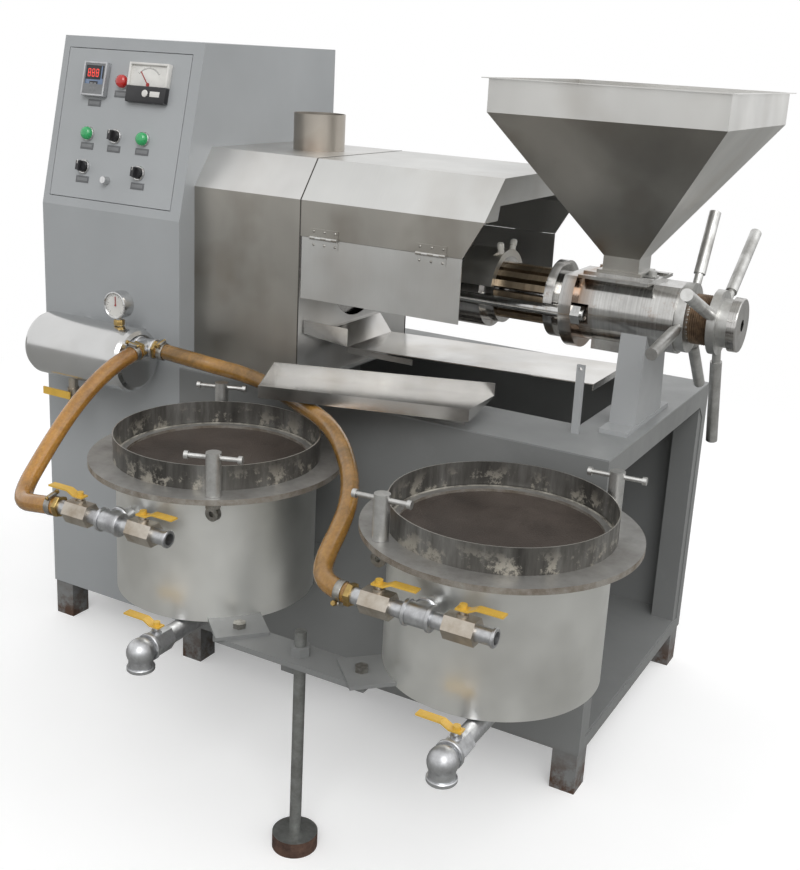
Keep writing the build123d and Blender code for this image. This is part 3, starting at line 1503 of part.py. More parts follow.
with BuildPart() as gauge_pointer:
    face_y = vacuum_y - gauge_thickness / 2 + gauge_recess - pointer_lift
    bar_y(gauge_x, face_y - pointer_thickness, face_y, gauge_z, pointer_hub_radius / 2)
    block(gauge_x - pointer_width / 2, gauge_x + pointer_width / 2, face_y - pointer_thickness, face_y,
          gauge_z, gauge_z + gauge_pointer_length)
keep("gauge_pointer", gauge_pointer.part)

# Outlet tee of the vacuum tank and its drain below
drain_x = vacuum_left + (vacuum_right - vacuum_left) * drain_offset_share
vacuum_valve_z = vacuum_z - vacuum_radius - drain_pipe_length
with BuildPart() as tank_fittings:
    bar_x(vacuum_right, outlet_x + outlet_reach, outlet_y, outlet_z, pipe_radius)
    bar_x(outlet_x - tee_length / 2, outlet_x + tee_length / 2, outlet_y, outlet_z, tee_radius)
    bar_y(outlet_x, outlet_y - outlet_reach - overrun, outlet_y, outlet_z, tee_radius - 2.0 * gate_room)


def valve_body_x(x, y, z):
    """A ball valve body on a pipe along X, with its stem boss."""
    extrude(hexagon(Plane.YZ.offset(x - valve_length / 2), (y, z), valve_size), amount=valve_length)
    bar_z(x, y, z, z + valve_size / 2 + stem_height / 2, stem_boss_radius)


def lever_solid(x, y, z, turn):
    """A valve lever: a hub on the stem and a stepped flat handle that points to one side."""
    away = Vector(cos(radians(turn)), sin(radians(turn)), 0)
    side = Plane(origin=(x, y, z), x_dir=away, z_dir=Vector(0, 0, 1).cross(away) * -1)
    path = [(-lever_hub_width / 2, 0.0), (lever_hub_width / 2, 0.0),
            (lever_hub_width / 2 + lever_step, lever_step / 2), (lever_reach, lever_step / 2)]
    with BuildSketch(side) as face:
        with BuildLine():
            Polyline(*strip(path, lever_plate), close=True)
        make_face()
    extrude(face.sketch, amount=lever_width / 2, both=True)
    bar_z(x, y, z + lever_plate, z + lever_plate + lever_nut_radius, lever_nut_radius)


suction_sets = {
    "left": (tank_left_x - suction_offset, suction_y, suction_z),
    "right": (tank_right_x - right_suction_offset, suction_y, suction_z),
}
valve_stem_top = valve_size / 2 + stem_height
lever_seat = valve_stem_top + fit_gap
with BuildPart() as suction_fittings:
    for x, y, z in suction_sets.values():
        x0 = x - suction_valve_spacing - valve_length / 2 - hose_end
        x1 = x + suction_valve_spacing + valve_length / 2 + suction_end
        bar_x(x0 + hose_end / 2, x1, y, z, pipe_radius)
        bar_x(x - tee_length / 2, x + tee_length / 2, y, z, tee_radius)
        tank_x = tank_left_x if x < tank_right_x - tank_spacing / 2 else tank_right_x
        bar_y(x, y, tank_y, z, pipe_radius)
        bar_z(tank_x, tank_y, z - tee_length, z + tee_length, tank_radius, mode=Mode.SUBTRACT)
        bar_y(x, y, y + tee_length / 2, z, tee_radius)
        for valve_x in (x - suction_valve_spacing, x + suction_valve_spacing):
            valve_body_x(valve_x, y, z)
            bar_z(valve_x, y, z, z + valve_stem_top, stem_radius)
        bar_x(x1 - suction_end, x1 + overrun, y, z, pipe_bore_radius, mode=Mode.SUBTRACT)

drain_sets = {
    "left": (tank_left_x + drain_offset, drain_z),
    "right": (tank_right_x + drain_offset, drain_z),
}
with BuildPart() as drain_fittings:
    for x, z in drain_sets.values():
        bar_z(x, tank_y - drain_stub_y, z, tank_bottom, drain_stub_radius)
        bar_y(x, tank_y - drain_elbow_y, tank_y - drain_stub_y + drain_pipe_outer, z, drain_pipe_outer)
        with Locations((x, tank_y - drain_elbow_y, z)):
            Sphere(drain_elbow_radius)
        valve_y = tank_y - drain_valve_y
        extrude(hexagon(Plane.XZ.offset(-(valve_y + valve_length / 2)), (x, z), valve_size),
                amount=valve_length)
        bar_z(x, valve_y, z, z + valve_size / 2 + stem_height / 2, stem_boss_radius)
        bar_z(x, valve_y, z, z + valve_stem_top, stem_radius)
        bar_z(x, tank_y - drain_elbow_y, z - drain_drop, z, drain_mouth_radius)
        bar_z(x, tank_y - drain_elbow_y, z - drain_drop - overrun, z - drain_drop / 3,
              drain_pipe_bore, mode=Mode.SUBTRACT)
    bar_z(drain_x, vacuum_y, vacuum_valve_z, vacuum_z - vacuum_radius, drain_pipe_radius)
    bar_z(drain_x, vacuum_y, vacuum_valve_z - valve_length / 2, vacuum_valve_z + valve_length / 4,
          drain_pipe_radius + gauge_bezel)
    bar_y(drain_x, vacuum_y - valve_size / 2, vacuum_y, vacuum_valve_z, stem_radius)
keep("pipe_fittings", tank_fittings.part, suction_fittings.part, drain_fittings.part)

lever_places = {
    "lever_left_hose": (suction_sets["left"][0] - suction_valve_spacing, suction_y, suction_z, 180.0),
    "lever_left_air": (suction_sets["left"][0] + suction_valve_spacing, suction_y, suction_z, 0.0),
    "lever_right_hose": (suction_sets["right"][0] - suction_valve_spacing, suction_y, suction_z, 0.0),
    "lever_right_air": (suction_sets["right"][0] + suction_valve_spacing, suction_y, suction_z, 0.0),
    "lever_left_drain": (drain_sets["left"][0], tank_y - drain_valve_y, drain_z, 180.0),
    "lever_right_drain": (drain_sets["right"][0], tank_y - drain_valve_y, drain_z, 180.0),
}
for lever_name, (x, y, z, turn) in lever_places.items():
    with BuildPart() as valve_lever:
        lever_solid(x, y, z + lever_seat, turn)
    keep(lever_name, valve_lever.part)

vacuum_lever_y = vacuum_y - valve_size / 2 - fit_gap
with BuildPart() as lever_vacuum_drain:
    block(drain_x - lever_reach, drain_x + lever_hub_width / 2, vacuum_lever_y - lever_plate,
          vacuum_lever_y, vacuum_valve_z - lever_width / 2, vacuum_valve_z + lever_width / 2)
keep("lever_vacuum_drain", lever_vacuum_drain.part)


def clamp_places(centre_x, turns):
    """The places of a tank's clamps."""
    return [
        (centre_x + clamp_circle * cos(radians(t)), tank_y + clamp_circle * sin(radians(t)), t)
        for t in turns
    ]


left_clamps = clamp_places(tank_left_x, left_clamp_turns)
right_clamps = clamp_places(tank_right_x, right_clamp_turns)

# Filter tanks: a vessel with a flange and a step for the bed, and a clamped ring above it
filter_rings = []
for tank_name, tank_x, clamps, lug_turn in (
    ("left", tank_left_x, left_clamps, left_lug_turn),
    ("right", tank_right_x, right_clamps, right_lug_turn),
):
    with BuildPart() as vessel:
        turned_z(
            [
                (0.0, tank_bottom),
                (tank_radius, tank_bottom),
                (tank_radius, tank_flange_bottom),
                (tank_flange_radius, tank_flange_bottom),
                (tank_flange_radius, tank_joint),
                (tank_radius - tank_wall, tank_joint),
                (tank_radius - tank_wall, tank_joint - tank_bed_thickness),
                (tank_radius - tank_wall - tank_step, tank_joint - tank_bed_thickness),
                (tank_radius - tank_wall - tank_step, tank_joint - tank_bed_thickness - tank_step),
                (tank_radius - tank_wall, tank_joint - tank_bed_thickness - tank_step),
                (tank_radius - tank_wall, tank_bottom + tank_wall),
                (0.0, tank_bottom + tank_wall),
            ],
            tank_x, tank_y,
        )
        for x, y, turn in clamps:
            bar_z(x, y, tank_flange_bottom - overrun, tank_joint + overrun,
                  clamp_stud_radius + clamp_hole_gap, mode=Mode.SUBTRACT)
    with BuildPart() as ring:
        turned_z(
            [
                (tank_ledge_radius, tank_joint),
                (tank_flange_radius, tank_joint),
                (tank_flange_radius, tank_flange_top),
                (tank_ring_radius, tank_flange_top),
                (tank_ring_radius, tank_ring_top),
                (tank_ring_radius - tank_wall, tank_ring_top),
                (tank_ring_radius - tank_wall, tank_flange_top),
                (tank_ledge_radius, tank_flange_top),
            ],
            tank_x, tank_y,
        )
        for x, y, turn in clamps:
            bar_z(x, y, tank_joint - overrun, tank_flange_top + overrun,
                  clamp_stud_radius + clamp_hole_gap, mode=Mode.SUBTRACT)
    filter_rings.append(ring.part)
    with BuildPart() as lug:
        along = Plane(
            origin=(tank_x, tank_y, carrier_top),
            x_dir=(cos(radians(lug_turn)), sin(radians(lug_turn)), 0),
            z_dir=(0, 0, 1),
        )
        with BuildSketch(along):
            with Locations((lug_reach - (lug_reach - tank_radius * lug_root_share) / 2, 0)):
                Rectangle(lug_reach - tank_radius * lug_root_share, lug_width)
            with Locations((lug_bolt_circle, 0)):
                Circle(lug_bolt_radius + clamp_hole_gap / 2, mode=Mode.SUBTRACT)
        extrude(amount=lug_thickness)
        bar_z(tank_x, tank_y, carrier_top - overrun, carrier_top + lug_thickness + overrun, tank_radius,
              mode=Mode.SUBTRACT)
    keep(f"filter_tank_{tank_name}", vessel.part, lug.part)
keep("filter_rings", *filter_rings)

with BuildPart() as filter_beds:
    for tank_x in (tank_left_x, tank_right_x):
        bar_z(tank_x, tank_y, tank_joint - tank_bed_thickness, tank_joint,
              tank_radius - tank_wall - tank_bed_gap)
keep("filter_beds", filter_beds.part)

# Clamp studs with their nuts and eyes under the flanges
with BuildPart() as clamp_studs:
    for x, y, turn in left_clamps + right_clamps:
        nut_bottom = tank_flange_bottom - clamp_nut_thickness
        eye_z = nut_bottom - clamp_eye_radius + clamp_eye_thickness / 4
        bar_z(x, y, eye_z, tank_flange_top + clamp_thread_depth - fit_gap, clamp_stud_radius)
        extrude(hexagon(Plane.XY.offset(nut_bottom), (x, y), clamp_nut_size),
                amount=clamp_nut_thickness)
        bar_y(x, y - clamp_eye_thickness / 2, y + clamp_eye_thickness / 2, eye_z, clamp_eye_radius)
        bar_y(x, y - clamp_eye_thickness, y + clamp_eye_thickness, eye_z, clamp_eye_hole_radius,
              mode=Mode.SUBTRACT)

# T-handles: a long sleeve nut with a cross bar and its two balls
handle_names = ["clamp_left_front", "clamp_left_back", "clamp_right_front", "clamp_right_back"]
handle_bar_turns = (20.0, 200.0, 5.0, 5.0)
for handle_name, (x, y, turn), bar_turn in zip(handle_names, left_clamps + right_clamps,
                                                handle_bar_turns):
    sleeve_bottom = tank_flange_top + fit_gap
    sleeve_top = sleeve_bottom + clamp_sleeve_height
    across = Vector(cos(radians(bar_turn)), sin(radians(bar_turn)), 0)
    bar_start = Vector(x, y, sleeve_top - clamp_bar_drop) - across * (clamp_bar_length / 2)
    with BuildPart() as clamp_handle:
        bar_z(x, y, sleeve_bottom, sleeve_top, clamp_sleeve_radius)
        bar_z(x, y, sleeve_bottom - overrun, tank_flange_top + clamp_thread_depth,
              clamp_stud_radius + shaft_gap, mode=Mode.SUBTRACT)
        with BuildSketch(Plane(origin=bar_start, z_dir=across)):
            Circle(clamp_bar_radius)
        extrude(amount=clamp_bar_length)
        for end in (0, 1):
            with BuildSketch(Plane(origin=bar_start + across * (end * clamp_bar_length
                                                                - clamp_ball_radius / 2),
                                   z_dir=across)):
                Circle(clamp_ball_radius)
            extrude(amount=clamp_ball_radius)
    keep(handle_name, clamp_handle.part)

# Brackets on the apron under the back of each tank
with BuildPart() as tank_brackets:
    for tank_x in (tank_left_x, tank_right_x):
        for side in (-1, 1):
            x = tank_x + side * bracket_spread / 2
            block(x - bracket_width / 2, x + bracket_width / 2, front - bracket_thickness, front,
                  tank_bottom - bracket_height, tank_bottom)
            block(x - bracket_width / 2, x + bracket_width / 2, front - bracket_reach,
                  front - bracket_thickness, tank_bottom - bracket_thickness, tank_bottom)
            extrude(
                outline(
                    Plane.YZ.offset(x - bracket_thickness / 2),
                    [
                        (front - bracket_thickness, tank_bottom - bracket_height),
                        (front - bracket_thickness, tank_bottom - bracket_thickness),
                        (front - bracket_reach * bracket_rib_share, tank_bottom - bracket_thickness),
                    ],
                ),
                amount=bracket_thickness,
            )
keep("frame_panels", frame_panels.part, base_shelf.part, tank_brackets.part)


def lug_bolt(tank_x, turn):
    """The place of a lug's bolt."""
    return (tank_x + lug_bolt_circle * cos(radians(turn)), tank_y + lug_bolt_circle * sin(radians(turn)))


# Carrier bar between the tank lugs, with its bolts and the nut that the jack turns in
bolts_at = [lug_bolt(tank_left_x, left_lug_turn), lug_bolt(tank_right_x, right_lug_turn)]
carrier_x = (bolts_at[0][0] - carrier_overlap, bolts_at[1][0] + carrier_overlap)
with BuildPart() as carrier_bar:
    block(*carrier_x, carrier_y - carrier_width / 2, carrier_y + carrier_width / 2,
          carrier_bottom, carrier_top)
    extrude(hexagon(Plane.XY.offset(carrier_top), (jack_x, jack_y), jack_nut_size),
            amount=jack_nut_thickness)
    block(jack_x - jack_gusset_width - jack_radius, jack_x - jack_radius - shaft_gap,
          jack_y - sheet, jack_y + sheet, carrier_bottom - jack_gusset_depth, carrier_bottom)
    bar_z(jack_x, jack_y, carrier_bottom - jack_gusset_depth - overrun,
          carrier_top + jack_nut_thickness + overrun, jack_radius + shaft_gap, mode=Mode.SUBTRACT)
    for x, y in bolts_at:
        bar_z(x, y, carrier_bottom - overrun, carrier_top + overrun,
              lug_bolt_radius + clamp_hole_gap / 2, mode=Mode.SUBTRACT)
keep("carrier_bar", carrier_bar.part)

with BuildPart() as lug_bolts:
    for x, y in bolts_at:
        bar_z(x, y, carrier_bottom - lug_nut_thickness, carrier_top + lug_thickness, lug_bolt_radius)
        extrude(hexagon(Plane.XY.offset(carrier_top + lug_thickness), (x, y), lug_nut_size),
                amount=lug_nut_thickness)
        extrude(hexagon(Plane.XY.offset(carrier_bottom - lug_nut_thickness), (x, y), lug_nut_size),
                amount=lug_nut_thickness)
keep("tank_fasteners", clamp_studs.part, lug_bolts.part)

# Jack leg: a threaded rod on a round foot that stands on the floor
with BuildPart() as jack_leg:
    bar_z(jack_x, jack_y, 0.0, jack_foot_height, jack_foot_radius)
    bar_z(jack_x, jack_y, jack_foot_height, carrier_top + jack_nut_thickness + jack_above, jack_radius)
keep("jack_leg", jack_leg.part)

# Hoses: round tubes along hand-set routes, ending on the fittings
left_hose_points = [
    (outlet_x, outlet_y - outlet_reach - overrun, outlet_z),
    (340.0, -178.0, 718.0),
    (334.0, -222.0, 701.0),
    (325.0, -266.0, 670.0),
    (322.0, -312.0, 635.0),
    (323.0, -355.0, 599.0),
    (328.0, -400.0, 562.0),
    (338.0, -444.0, 531.0),
    (364.0, -478.0, 517.0),
    (411.0, -489.5, 527.0),
    (suction_sets["left"][0] - suction_valve_spacing - valve_length / 2 - hose_end / 2, suction_y,
     suction_z),
]


def corner_radii(points):
    """The largest arc for each corner that leaves a tenth of its shorter run straight."""
    radii = []
    for before, corner, after in zip(points, points[1:], points[2:]):
        run_in = Vector(*corner) - Vector(*before)
        run_out = Vector(*after) - Vector(*corner)
        turn = radians(run_in.get_angle(run_out))
        radii.append(hose_bend_share * min(run_in.length, run_out.length) / tan(turn / 2))
    return radii


right_hose_points = [
    (outlet_x + outlet_reach, outlet_y, outlet_z),
    (405.0, -111.0, 722.0),
    (450.0, -100.0, 715.0),
    (497.0, -84.0, 706.0),
    (546.0, -72.0, 699.0),
    (600.0, -68.0, 688.0),
    (652.0, -80.0, 678.0),
    (705.0, -103.0, 673.0),
    (757.0, -130.0, 671.0),
    (806.0, -163.0, 668.0),
    (852.0, -200.0, 659.0),
    (893.0, -240.0, 643.0),
    (930.0, -286.0, 627.0),
    (958.0, -335.0, 607.0),
    (972.0, -385.0, 583.0),
    (980.0, -432.0, 560.0),
    (995.0, -470.0, 543.0),
    (1030.0, -489.0, 536.0),
    (suction_sets["right"][0] - suction_valve_spacing - valve_length / 2 - hose_end / 2, suction_y,
     suction_z),
]

for hose_name, hose_points in (("hose_left", left_hose_points), ("hose_right", right_hose_points)):
    hose_radii = corner_radii(hose_points)
    with BuildPart() as hose:
        with BuildLine() as route:
            FilletPolyline(*hose_points, radius=hose_radii)
        with BuildSketch(Plane(origin=route.line @ 0, z_dir=route.line % 0)):
            Circle(hose_radius)
        sweep()
    keep(hose_name, hose.part)
    hose_length = sum(edge.length for edge in route.line.edges())
    print(hose_name, "length", round(hose_length), "radii", [round(radius) for radius in hose_radii],
          "volume share", round(hose.part.volume / (pi * hose_radius ** 2 * hose_length), 4))
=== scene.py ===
"""Looks of the screw oil press: materials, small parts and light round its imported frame."""
import json
import math

import bpy
import bmesh
from mathutils import Matrix, Vector


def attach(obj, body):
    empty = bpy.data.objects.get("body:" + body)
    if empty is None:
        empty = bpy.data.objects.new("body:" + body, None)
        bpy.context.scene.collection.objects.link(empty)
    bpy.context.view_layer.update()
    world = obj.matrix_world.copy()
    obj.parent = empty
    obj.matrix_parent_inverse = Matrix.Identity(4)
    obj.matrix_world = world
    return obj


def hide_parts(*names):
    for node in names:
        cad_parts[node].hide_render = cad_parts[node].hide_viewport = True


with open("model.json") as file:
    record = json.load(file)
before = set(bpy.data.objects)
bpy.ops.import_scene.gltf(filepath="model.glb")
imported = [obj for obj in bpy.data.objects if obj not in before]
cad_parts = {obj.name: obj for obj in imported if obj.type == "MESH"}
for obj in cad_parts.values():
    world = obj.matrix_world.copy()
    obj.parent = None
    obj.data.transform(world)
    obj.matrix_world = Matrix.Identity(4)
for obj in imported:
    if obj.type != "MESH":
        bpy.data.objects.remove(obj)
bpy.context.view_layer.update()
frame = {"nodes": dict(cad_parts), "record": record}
scene = bpy.context.scene
nodes = frame["nodes"]
MM = 0.001
X, Y, Z = Vector((1.0, 0.0, 0.0)), Vector((0.0, 1.0, 0.0)), Vector((0.0, 0.0, 1.0))

# Places of the frame that finishes and pieces share, in millimetres
joint_places = {
    joint["name"]: tuple(round(value / MM, 2) for value in joint["pos_m"])
    for joint in frame["record"]["behaviour"]["joints"] if joint.get("pos_m")
}
SHAFT_Y, SHAFT_Z = joint_places["worm_spin"][1:]
VALVES_X = [joint_places["valve_" + name][0] for name in ("left_hose", "left_air", "right_hose", "right_air")]
DRAINS_X = [joint_places["valve_" + side + "_drain"][0] for side in ("left", "right")]
VACUUM_DRAIN_X = joint_places["valve_vacuum_drain"][0]
TEES_X = [(hose + air) / 2 for hose, air in (VALVES_X[:2], VALVES_X[2:])]
SUCTION_Y, SUCTION_Z = -489.5, 535.0
OUTLET_X, OUTLET_Y, OUTLET_Z = 337.0, -112.5, 725.0
TANKS_X, TANKS_Y, TANK_RADIUS = (637.5, 1204.5), -269.5, 180.0
RING_FOOT, RING_TOP = 608.0, 651.0

# The photograph's camera: angles in degrees, sizes in its pixels and the place in metres
CAMERA_TURN, CAMERA_LIFT, CAMERA_ROLL = 27.87, 16.05, 3.26
PHOTO_WIDTH, PHOTO_HEIGHT = 800.0, 870.0
FOCAL_PIXELS = 1176.76
CENTRE_X, CENTRE_Y = 417.48, 390.51
CAMERA_PLACE = (1.89213, -1.8828, 1.32691)
SENSOR = 36.0


def photograph_camera():
    """A camera that sees the machine as the photograph does."""
    turn, lift, roll = (math.radians(angle) for angle in (CAMERA_TURN, CAMERA_LIFT, CAMERA_ROLL))
    back = Vector((math.sin(turn) * math.cos(lift), -math.cos(turn) * math.cos(lift), math.sin(lift)))
    flat_right = Vector((math.cos(turn), math.sin(turn), 0.0))
    flat_up = back.cross(flat_right)
    right = math.cos(roll) * flat_right + math.sin(roll) * flat_up
    up = -math.sin(roll) * flat_right + math.cos(roll) * flat_up
    data = bpy.data.cameras.new("camera")
    data.sensor_width = SENSOR
    data.lens = FOCAL_PIXELS * SENSOR / PHOTO_HEIGHT
    data.shift_x = (PHOTO_WIDTH / 2 - CENTRE_X) / PHOTO_HEIGHT
    data.shift_y = (CENTRE_Y - PHOTO_HEIGHT / 2) / PHOTO_HEIGHT
    data.clip_start = 0.05
    data.clip_end = 60.0
    camera = bpy.data.objects.new("camera", data)
    scene.collection.objects.link(camera)
    pose = Matrix((right, up, back)).transposed().to_4x4()
    pose.translation = CAMERA_PLACE
    camera.matrix_world = pose
    return camera


scene.camera = photograph_camera()
scene.view_settings.view_transform = "Standard"


class Shader:
    """A material's node tree, with short ways to add the nodes that the finishes share."""

    def __init__(self, name):
        self.mat = bpy.data.materials.new(name)
        self.mat.use_nodes = True
        self.tree = self.mat.node_tree
        self.bsdf = self.tree.nodes["Principled BSDF"]
        self.coords = self.tree.nodes.new("ShaderNodeTexCoord").outputs["Object"]

    def put(self, socket, value):
        if isinstance(value, bpy.types.NodeSocket):
            self.tree.links.new(value, socket)
        else:
            socket.default_value = value

    def set(self, **values):
        for key, value in values.items():
            self.put(self.bsdf.inputs[key.replace("_", " ")], value)
        return self

    def stretched(self, stretch):
        """The coordinates, scaled along each axis."""
        node = self.tree.nodes.new("ShaderNodeMapping")
        self.put(node.inputs["Vector"], self.coords)
        node.inputs["Scale"].default_value = stretch
        return node.outputs["Vector"]

    def noise(self, scale, detail=3.0, rough=0.55, at=None, distortion=0.0):
        node = self.tree.nodes.new("ShaderNodeTexNoise")
        self.put(node.inputs["Vector"], at if at is not None else self.coords)
        node.inputs["Scale"].default_value = scale
        node.inputs["Detail"].default_value = detail
        node.inputs["Roughness"].default_value = rough
        node.inputs["Distortion"].default_value = distortion
        return node.outputs["Fac"]

    def cells(self, scale):
        """The distance to the middle of the nearest cell."""
        node = self.tree.nodes.new("ShaderNodeTexVoronoi")
        self.put(node.inputs["Vector"], self.coords)
        node.inputs["Scale"].default_value = scale
        return node.outputs["Distance"]

    def ramp(self, fac, *stops):
        """Colours or values at places along a factor; each stop is (place, colour or value)."""
        node = self.tree.nodes.new("ShaderNodeValToRGB")
        self.put(node.inputs["Fac"], fac)
        ramp = node.color_ramp
        while len(ramp.elements) < len(stops):
            ramp.elements.new(0.5)
        for element, (place, colour) in zip(ramp.elements, stops):
            element.position = place
            if isinstance(colour, (int, float)):
                colour = (colour, colour, colour)
            element.color = (*colour, 1.0)
        return node.outputs["Color"]

    def mix(self, fac, a, b, how="MIX"):
        node = self.tree.nodes.new("ShaderNodeMix")
        node.data_type = "RGBA"
        node.blend_type = how
        self.put(node.inputs[0], fac)
        for socket, value in ((node.inputs[6], a), (node.inputs[7], b)):
            if isinstance(value, tuple) and len(value) == 3:
                value = (*value, 1.0)
            self.put(socket, value)
        return node.outputs[2]

    def math(self, how, a, b=0.0):
        node = self.tree.nodes.new("ShaderNodeMath")
        node.operation = how
        self.put(node.inputs[0], a)
        self.put(node.inputs[1], b)
        return node.outputs[0]

    def part(self, index):
        """One coordinate in metres, with 0 for X, 1 for Y and 2 for Z."""
        node = self.tree.nodes.new("ShaderNodeSeparateXYZ")
        self.put(node.inputs[0], self.coords)
        return node.outputs[index]

    def around(self, y, z, axis=0):
        """The distance from an axis along X, or along Z where axis is 2."""
        a, b = ((1, y), (2, z)) if axis == 0 else ((0, y), (1, z))
        first = self.math("SUBTRACT", self.part(a[0]), a[1])
        second = self.math("SUBTRACT", self.part(b[0]), b[1])
        total = self.math("ADD", self.math("MULTIPLY", first, first),
                          self.math("MULTIPLY", second, second))
        return self.math("SQRT", total)

    def joined(self, x, y):
        """Coordinates made of two values."""
        node = self.tree.nodes.new("ShaderNodeCombineXYZ")
        for socket, value in zip(node.inputs, (x, y, 0.0)):
            self.put(socket, value)
        return node.outputs[0]

    def bump(self, height, strength, distance):
        """Relief from a height, laid over the relief that is already there."""
        node = self.tree.nodes.new("ShaderNodeBump")
        self.put(node.inputs["Height"], height)
        node.inputs["Strength"].default_value = strength
        node.inputs["Distance"].default_value = distance
        if self.bsdf.inputs["Normal"].is_linked:
            before = self.bsdf.inputs["Normal"].links[0].from_socket
            self.tree.links.new(before, node.inputs["Normal"])
        self.tree.links.new(node.outputs["Normal"], self.bsdf.inputs["Normal"])
        return self


def grey(colour, share):
    """A colour made lighter or darker by a share."""
    return tuple(min(1.0, c * share) for c in colour)


def paint(name, colour, roughness=0.42, wear=0.5, dents=0.0, rusty=False):
    """Satin machine paint: orange peel, slow colour drift, dusty patches and small scuffs."""
    s = Shader(name)
    drift = s.ramp(s.noise(2.3, 4.0), (0.3, grey(colour, 0.90)), (0.7, grey(colour, 1.06)))
    dust = s.ramp(s.noise(9.0, 8.0, 0.7), (0.55, 0.0), (0.8, 0.45 * wear))
    dusty = s.mix(dust, drift, grey(colour, 1.22))
    scratched = s.noise(38.0, 8.0, 0.8, s.stretched((1.0, 1.0, 0.35)))
    scuffs = s.ramp(scratched, (0.66, 0.0), (0.72, 0.55 * wear))
    worn = s.mix(scuffs, dusty, grey(colour, 0.55))
    if rusty:
        low = s.ramp(s.math("MULTIPLY", s.part(2), 8.0), (0.12, 1.0), (0.75, 0.0))
        eaten = s.ramp(s.noise(24.0, 9.0, 0.75), (0.42, 0.0), (0.56, 1.0))
        worn = s.mix(s.math("MULTIPLY", low, eaten), worn, (0.085, 0.045, 0.028))
    s.set(Base_Color=worn)
    s.set(Roughness=s.ramp(s.noise(14.0, 5.0), (0.3, roughness - 0.06), (0.75, roughness + 0.14)))
    s.bump(s.noise(420.0, 2.0), 0.12, 0.0006)
    if dents:
        s.bump(s.noise(5.5, 2.0), dents, 0.006)
    return s.mat


def steel(name, colour, roughness, along, stain=(0.30, 0.25, 0.20), stains=0.4, bands=0.35, dents=0.1):
    """Brushed sheet: fine lines drawn out by the scales in `along`, cloudy bands and stains."""
    s = Shader(name)
    lines = s.noise(14.0, 6.0, 0.7, s.stretched(along))
    clouds = s.noise(4.2, 3.0, 0.5, s.stretched((1.0, 1.0, 0.6)), 0.4)
    dark, bright = grey(colour, 1.0 - bands), grey(colour, 1.0 + bands)
    base = s.ramp(clouds, (0.32, dark), (0.5, colour), (0.68, bright))
    lined = s.mix(0.07, base, s.ramp(lines, (0.3, 0.30), (0.7, 0.75)), "OVERLAY")
    patches = s.ramp(s.noise(6.0, 3.0, 0.5), (0.48, 0.0), (0.75, stains))
    s.set(Base_Color=s.mix(patches, lined, stain))
    s.set(Metallic=1.0)
    s.set(Roughness=s.ramp(s.noise(9.0, 6.0, 0.6), (0.3, roughness - 0.05), (0.7, roughness + 0.09)))
    s.bump(lines, 0.02, 0.0004)
    if dents:
        s.bump(s.noise(6.0, 2.0), dents, 0.004)
    return s.mat


RUST_TINT = (0.24, 0.13, 0.06)


def turned(name, colour, y, z, roughness, tints=0.0, tint_at=0.0, tint_width=0.02):
    """Turned steel: rings round an axis along X, oily clouds, rust, and a band of tint where it is given."""
    s = Shader(name)
    radius = s.around(y, z)
    along = s.part(0)
    rings = s.noise(260.0, 4.0, 0.6, s.joined(along, radius))
    clouds = s.noise(16.0, 6.0, 0.6)
    base = s.ramp(clouds, (0.3, grey(colour, 0.72)), (0.7, grey(colour, 1.18)))
    lined = s.mix(0.25, base, s.ramp(rings, (0.3, 0.25), (0.7, 0.8)), "OVERLAY")
    rust = s.ramp(s.noise(34.0, 9.0, 0.75), (0.56, 0.0), (0.70, 0.5))
    lined = s.mix(rust, lined, RUST_TINT)
    if tints:
        away = s.math("ABSOLUTE", s.math("SUBTRACT", along, tint_at))
        near = s.math("SUBTRACT", 1.0, s.math("DIVIDE", away, tint_width))
        near = s.math("MULTIPLY", s.math("MAXIMUM", near, 0.0), s.ramp(clouds, (0.35, 0.4), (0.6, 1.0)))
        lined = s.mix(s.math("MULTIPLY", near, tints), lined, RUST_TINT)
    s.set(Base_Color=lined, Metallic=1.0)
    s.set(Roughness=s.ramp(rings, (0.25, roughness - 0.06), (0.75, roughness + 0.12)))
    s.bump(rings, 0.12, 0.0004)
    return s.mat


def rough_metal(name, colour, dark, roughness=0.5, metallic=0.8, scale=60.0, bump=0.35):
    """Cast, galvanised or rusty metal: mottled colour with a grainy surface."""
    s = Shader(name)
    spots = s.noise(scale, 8.0, 0.65)
    s.set(Base_Color=s.ramp(spots, (0.32, dark), (0.66, colour)))
    s.set(Metallic=metallic, Roughness=s.ramp(spots, (0.3, roughness + 0.15), (0.7, roughness - 0.08)))
    s.bump(s.noise(scale * 5.0, 4.0), bump, 0.0007)
    return s.mat


def plastic(name, colour, roughness, coat=0.0):
    """Moulded plastic or rubber with a faint grain."""
    s = Shader(name)
    s.set(Base_Color=s.ramp(s.noise(30.0, 3.0), (0.3, grey(colour, 0.9)), (0.7, grey(colour, 1.08))))
    s.set(Roughness=s.ramp(s.noise(80.0, 3.0), (0.3, roughness - 0.05), (0.7, roughness + 0.08)))
    s.set(Coat_Weight=coat)
    s.bump(s.noise(900.0, 1.0), 0.05, 0.0003)
    return s.mat


def lens(name, colour, glow):
    """A coloured lens or a lit segment that glows a little."""
    s = Shader(name)
    s.set(Base_Color=s.ramp(s.noise(160.0, 2.0), (0.3, grey(colour, 0.8)), (0.7, colour)))
    s.set(Roughness=0.16, Coat_Weight=0.6, Transmission_Weight=0.15, Emission_Strength=glow)
    s.bsdf.inputs["Emission Color"].default_value = (*colour, 1.0)
    return s.mat


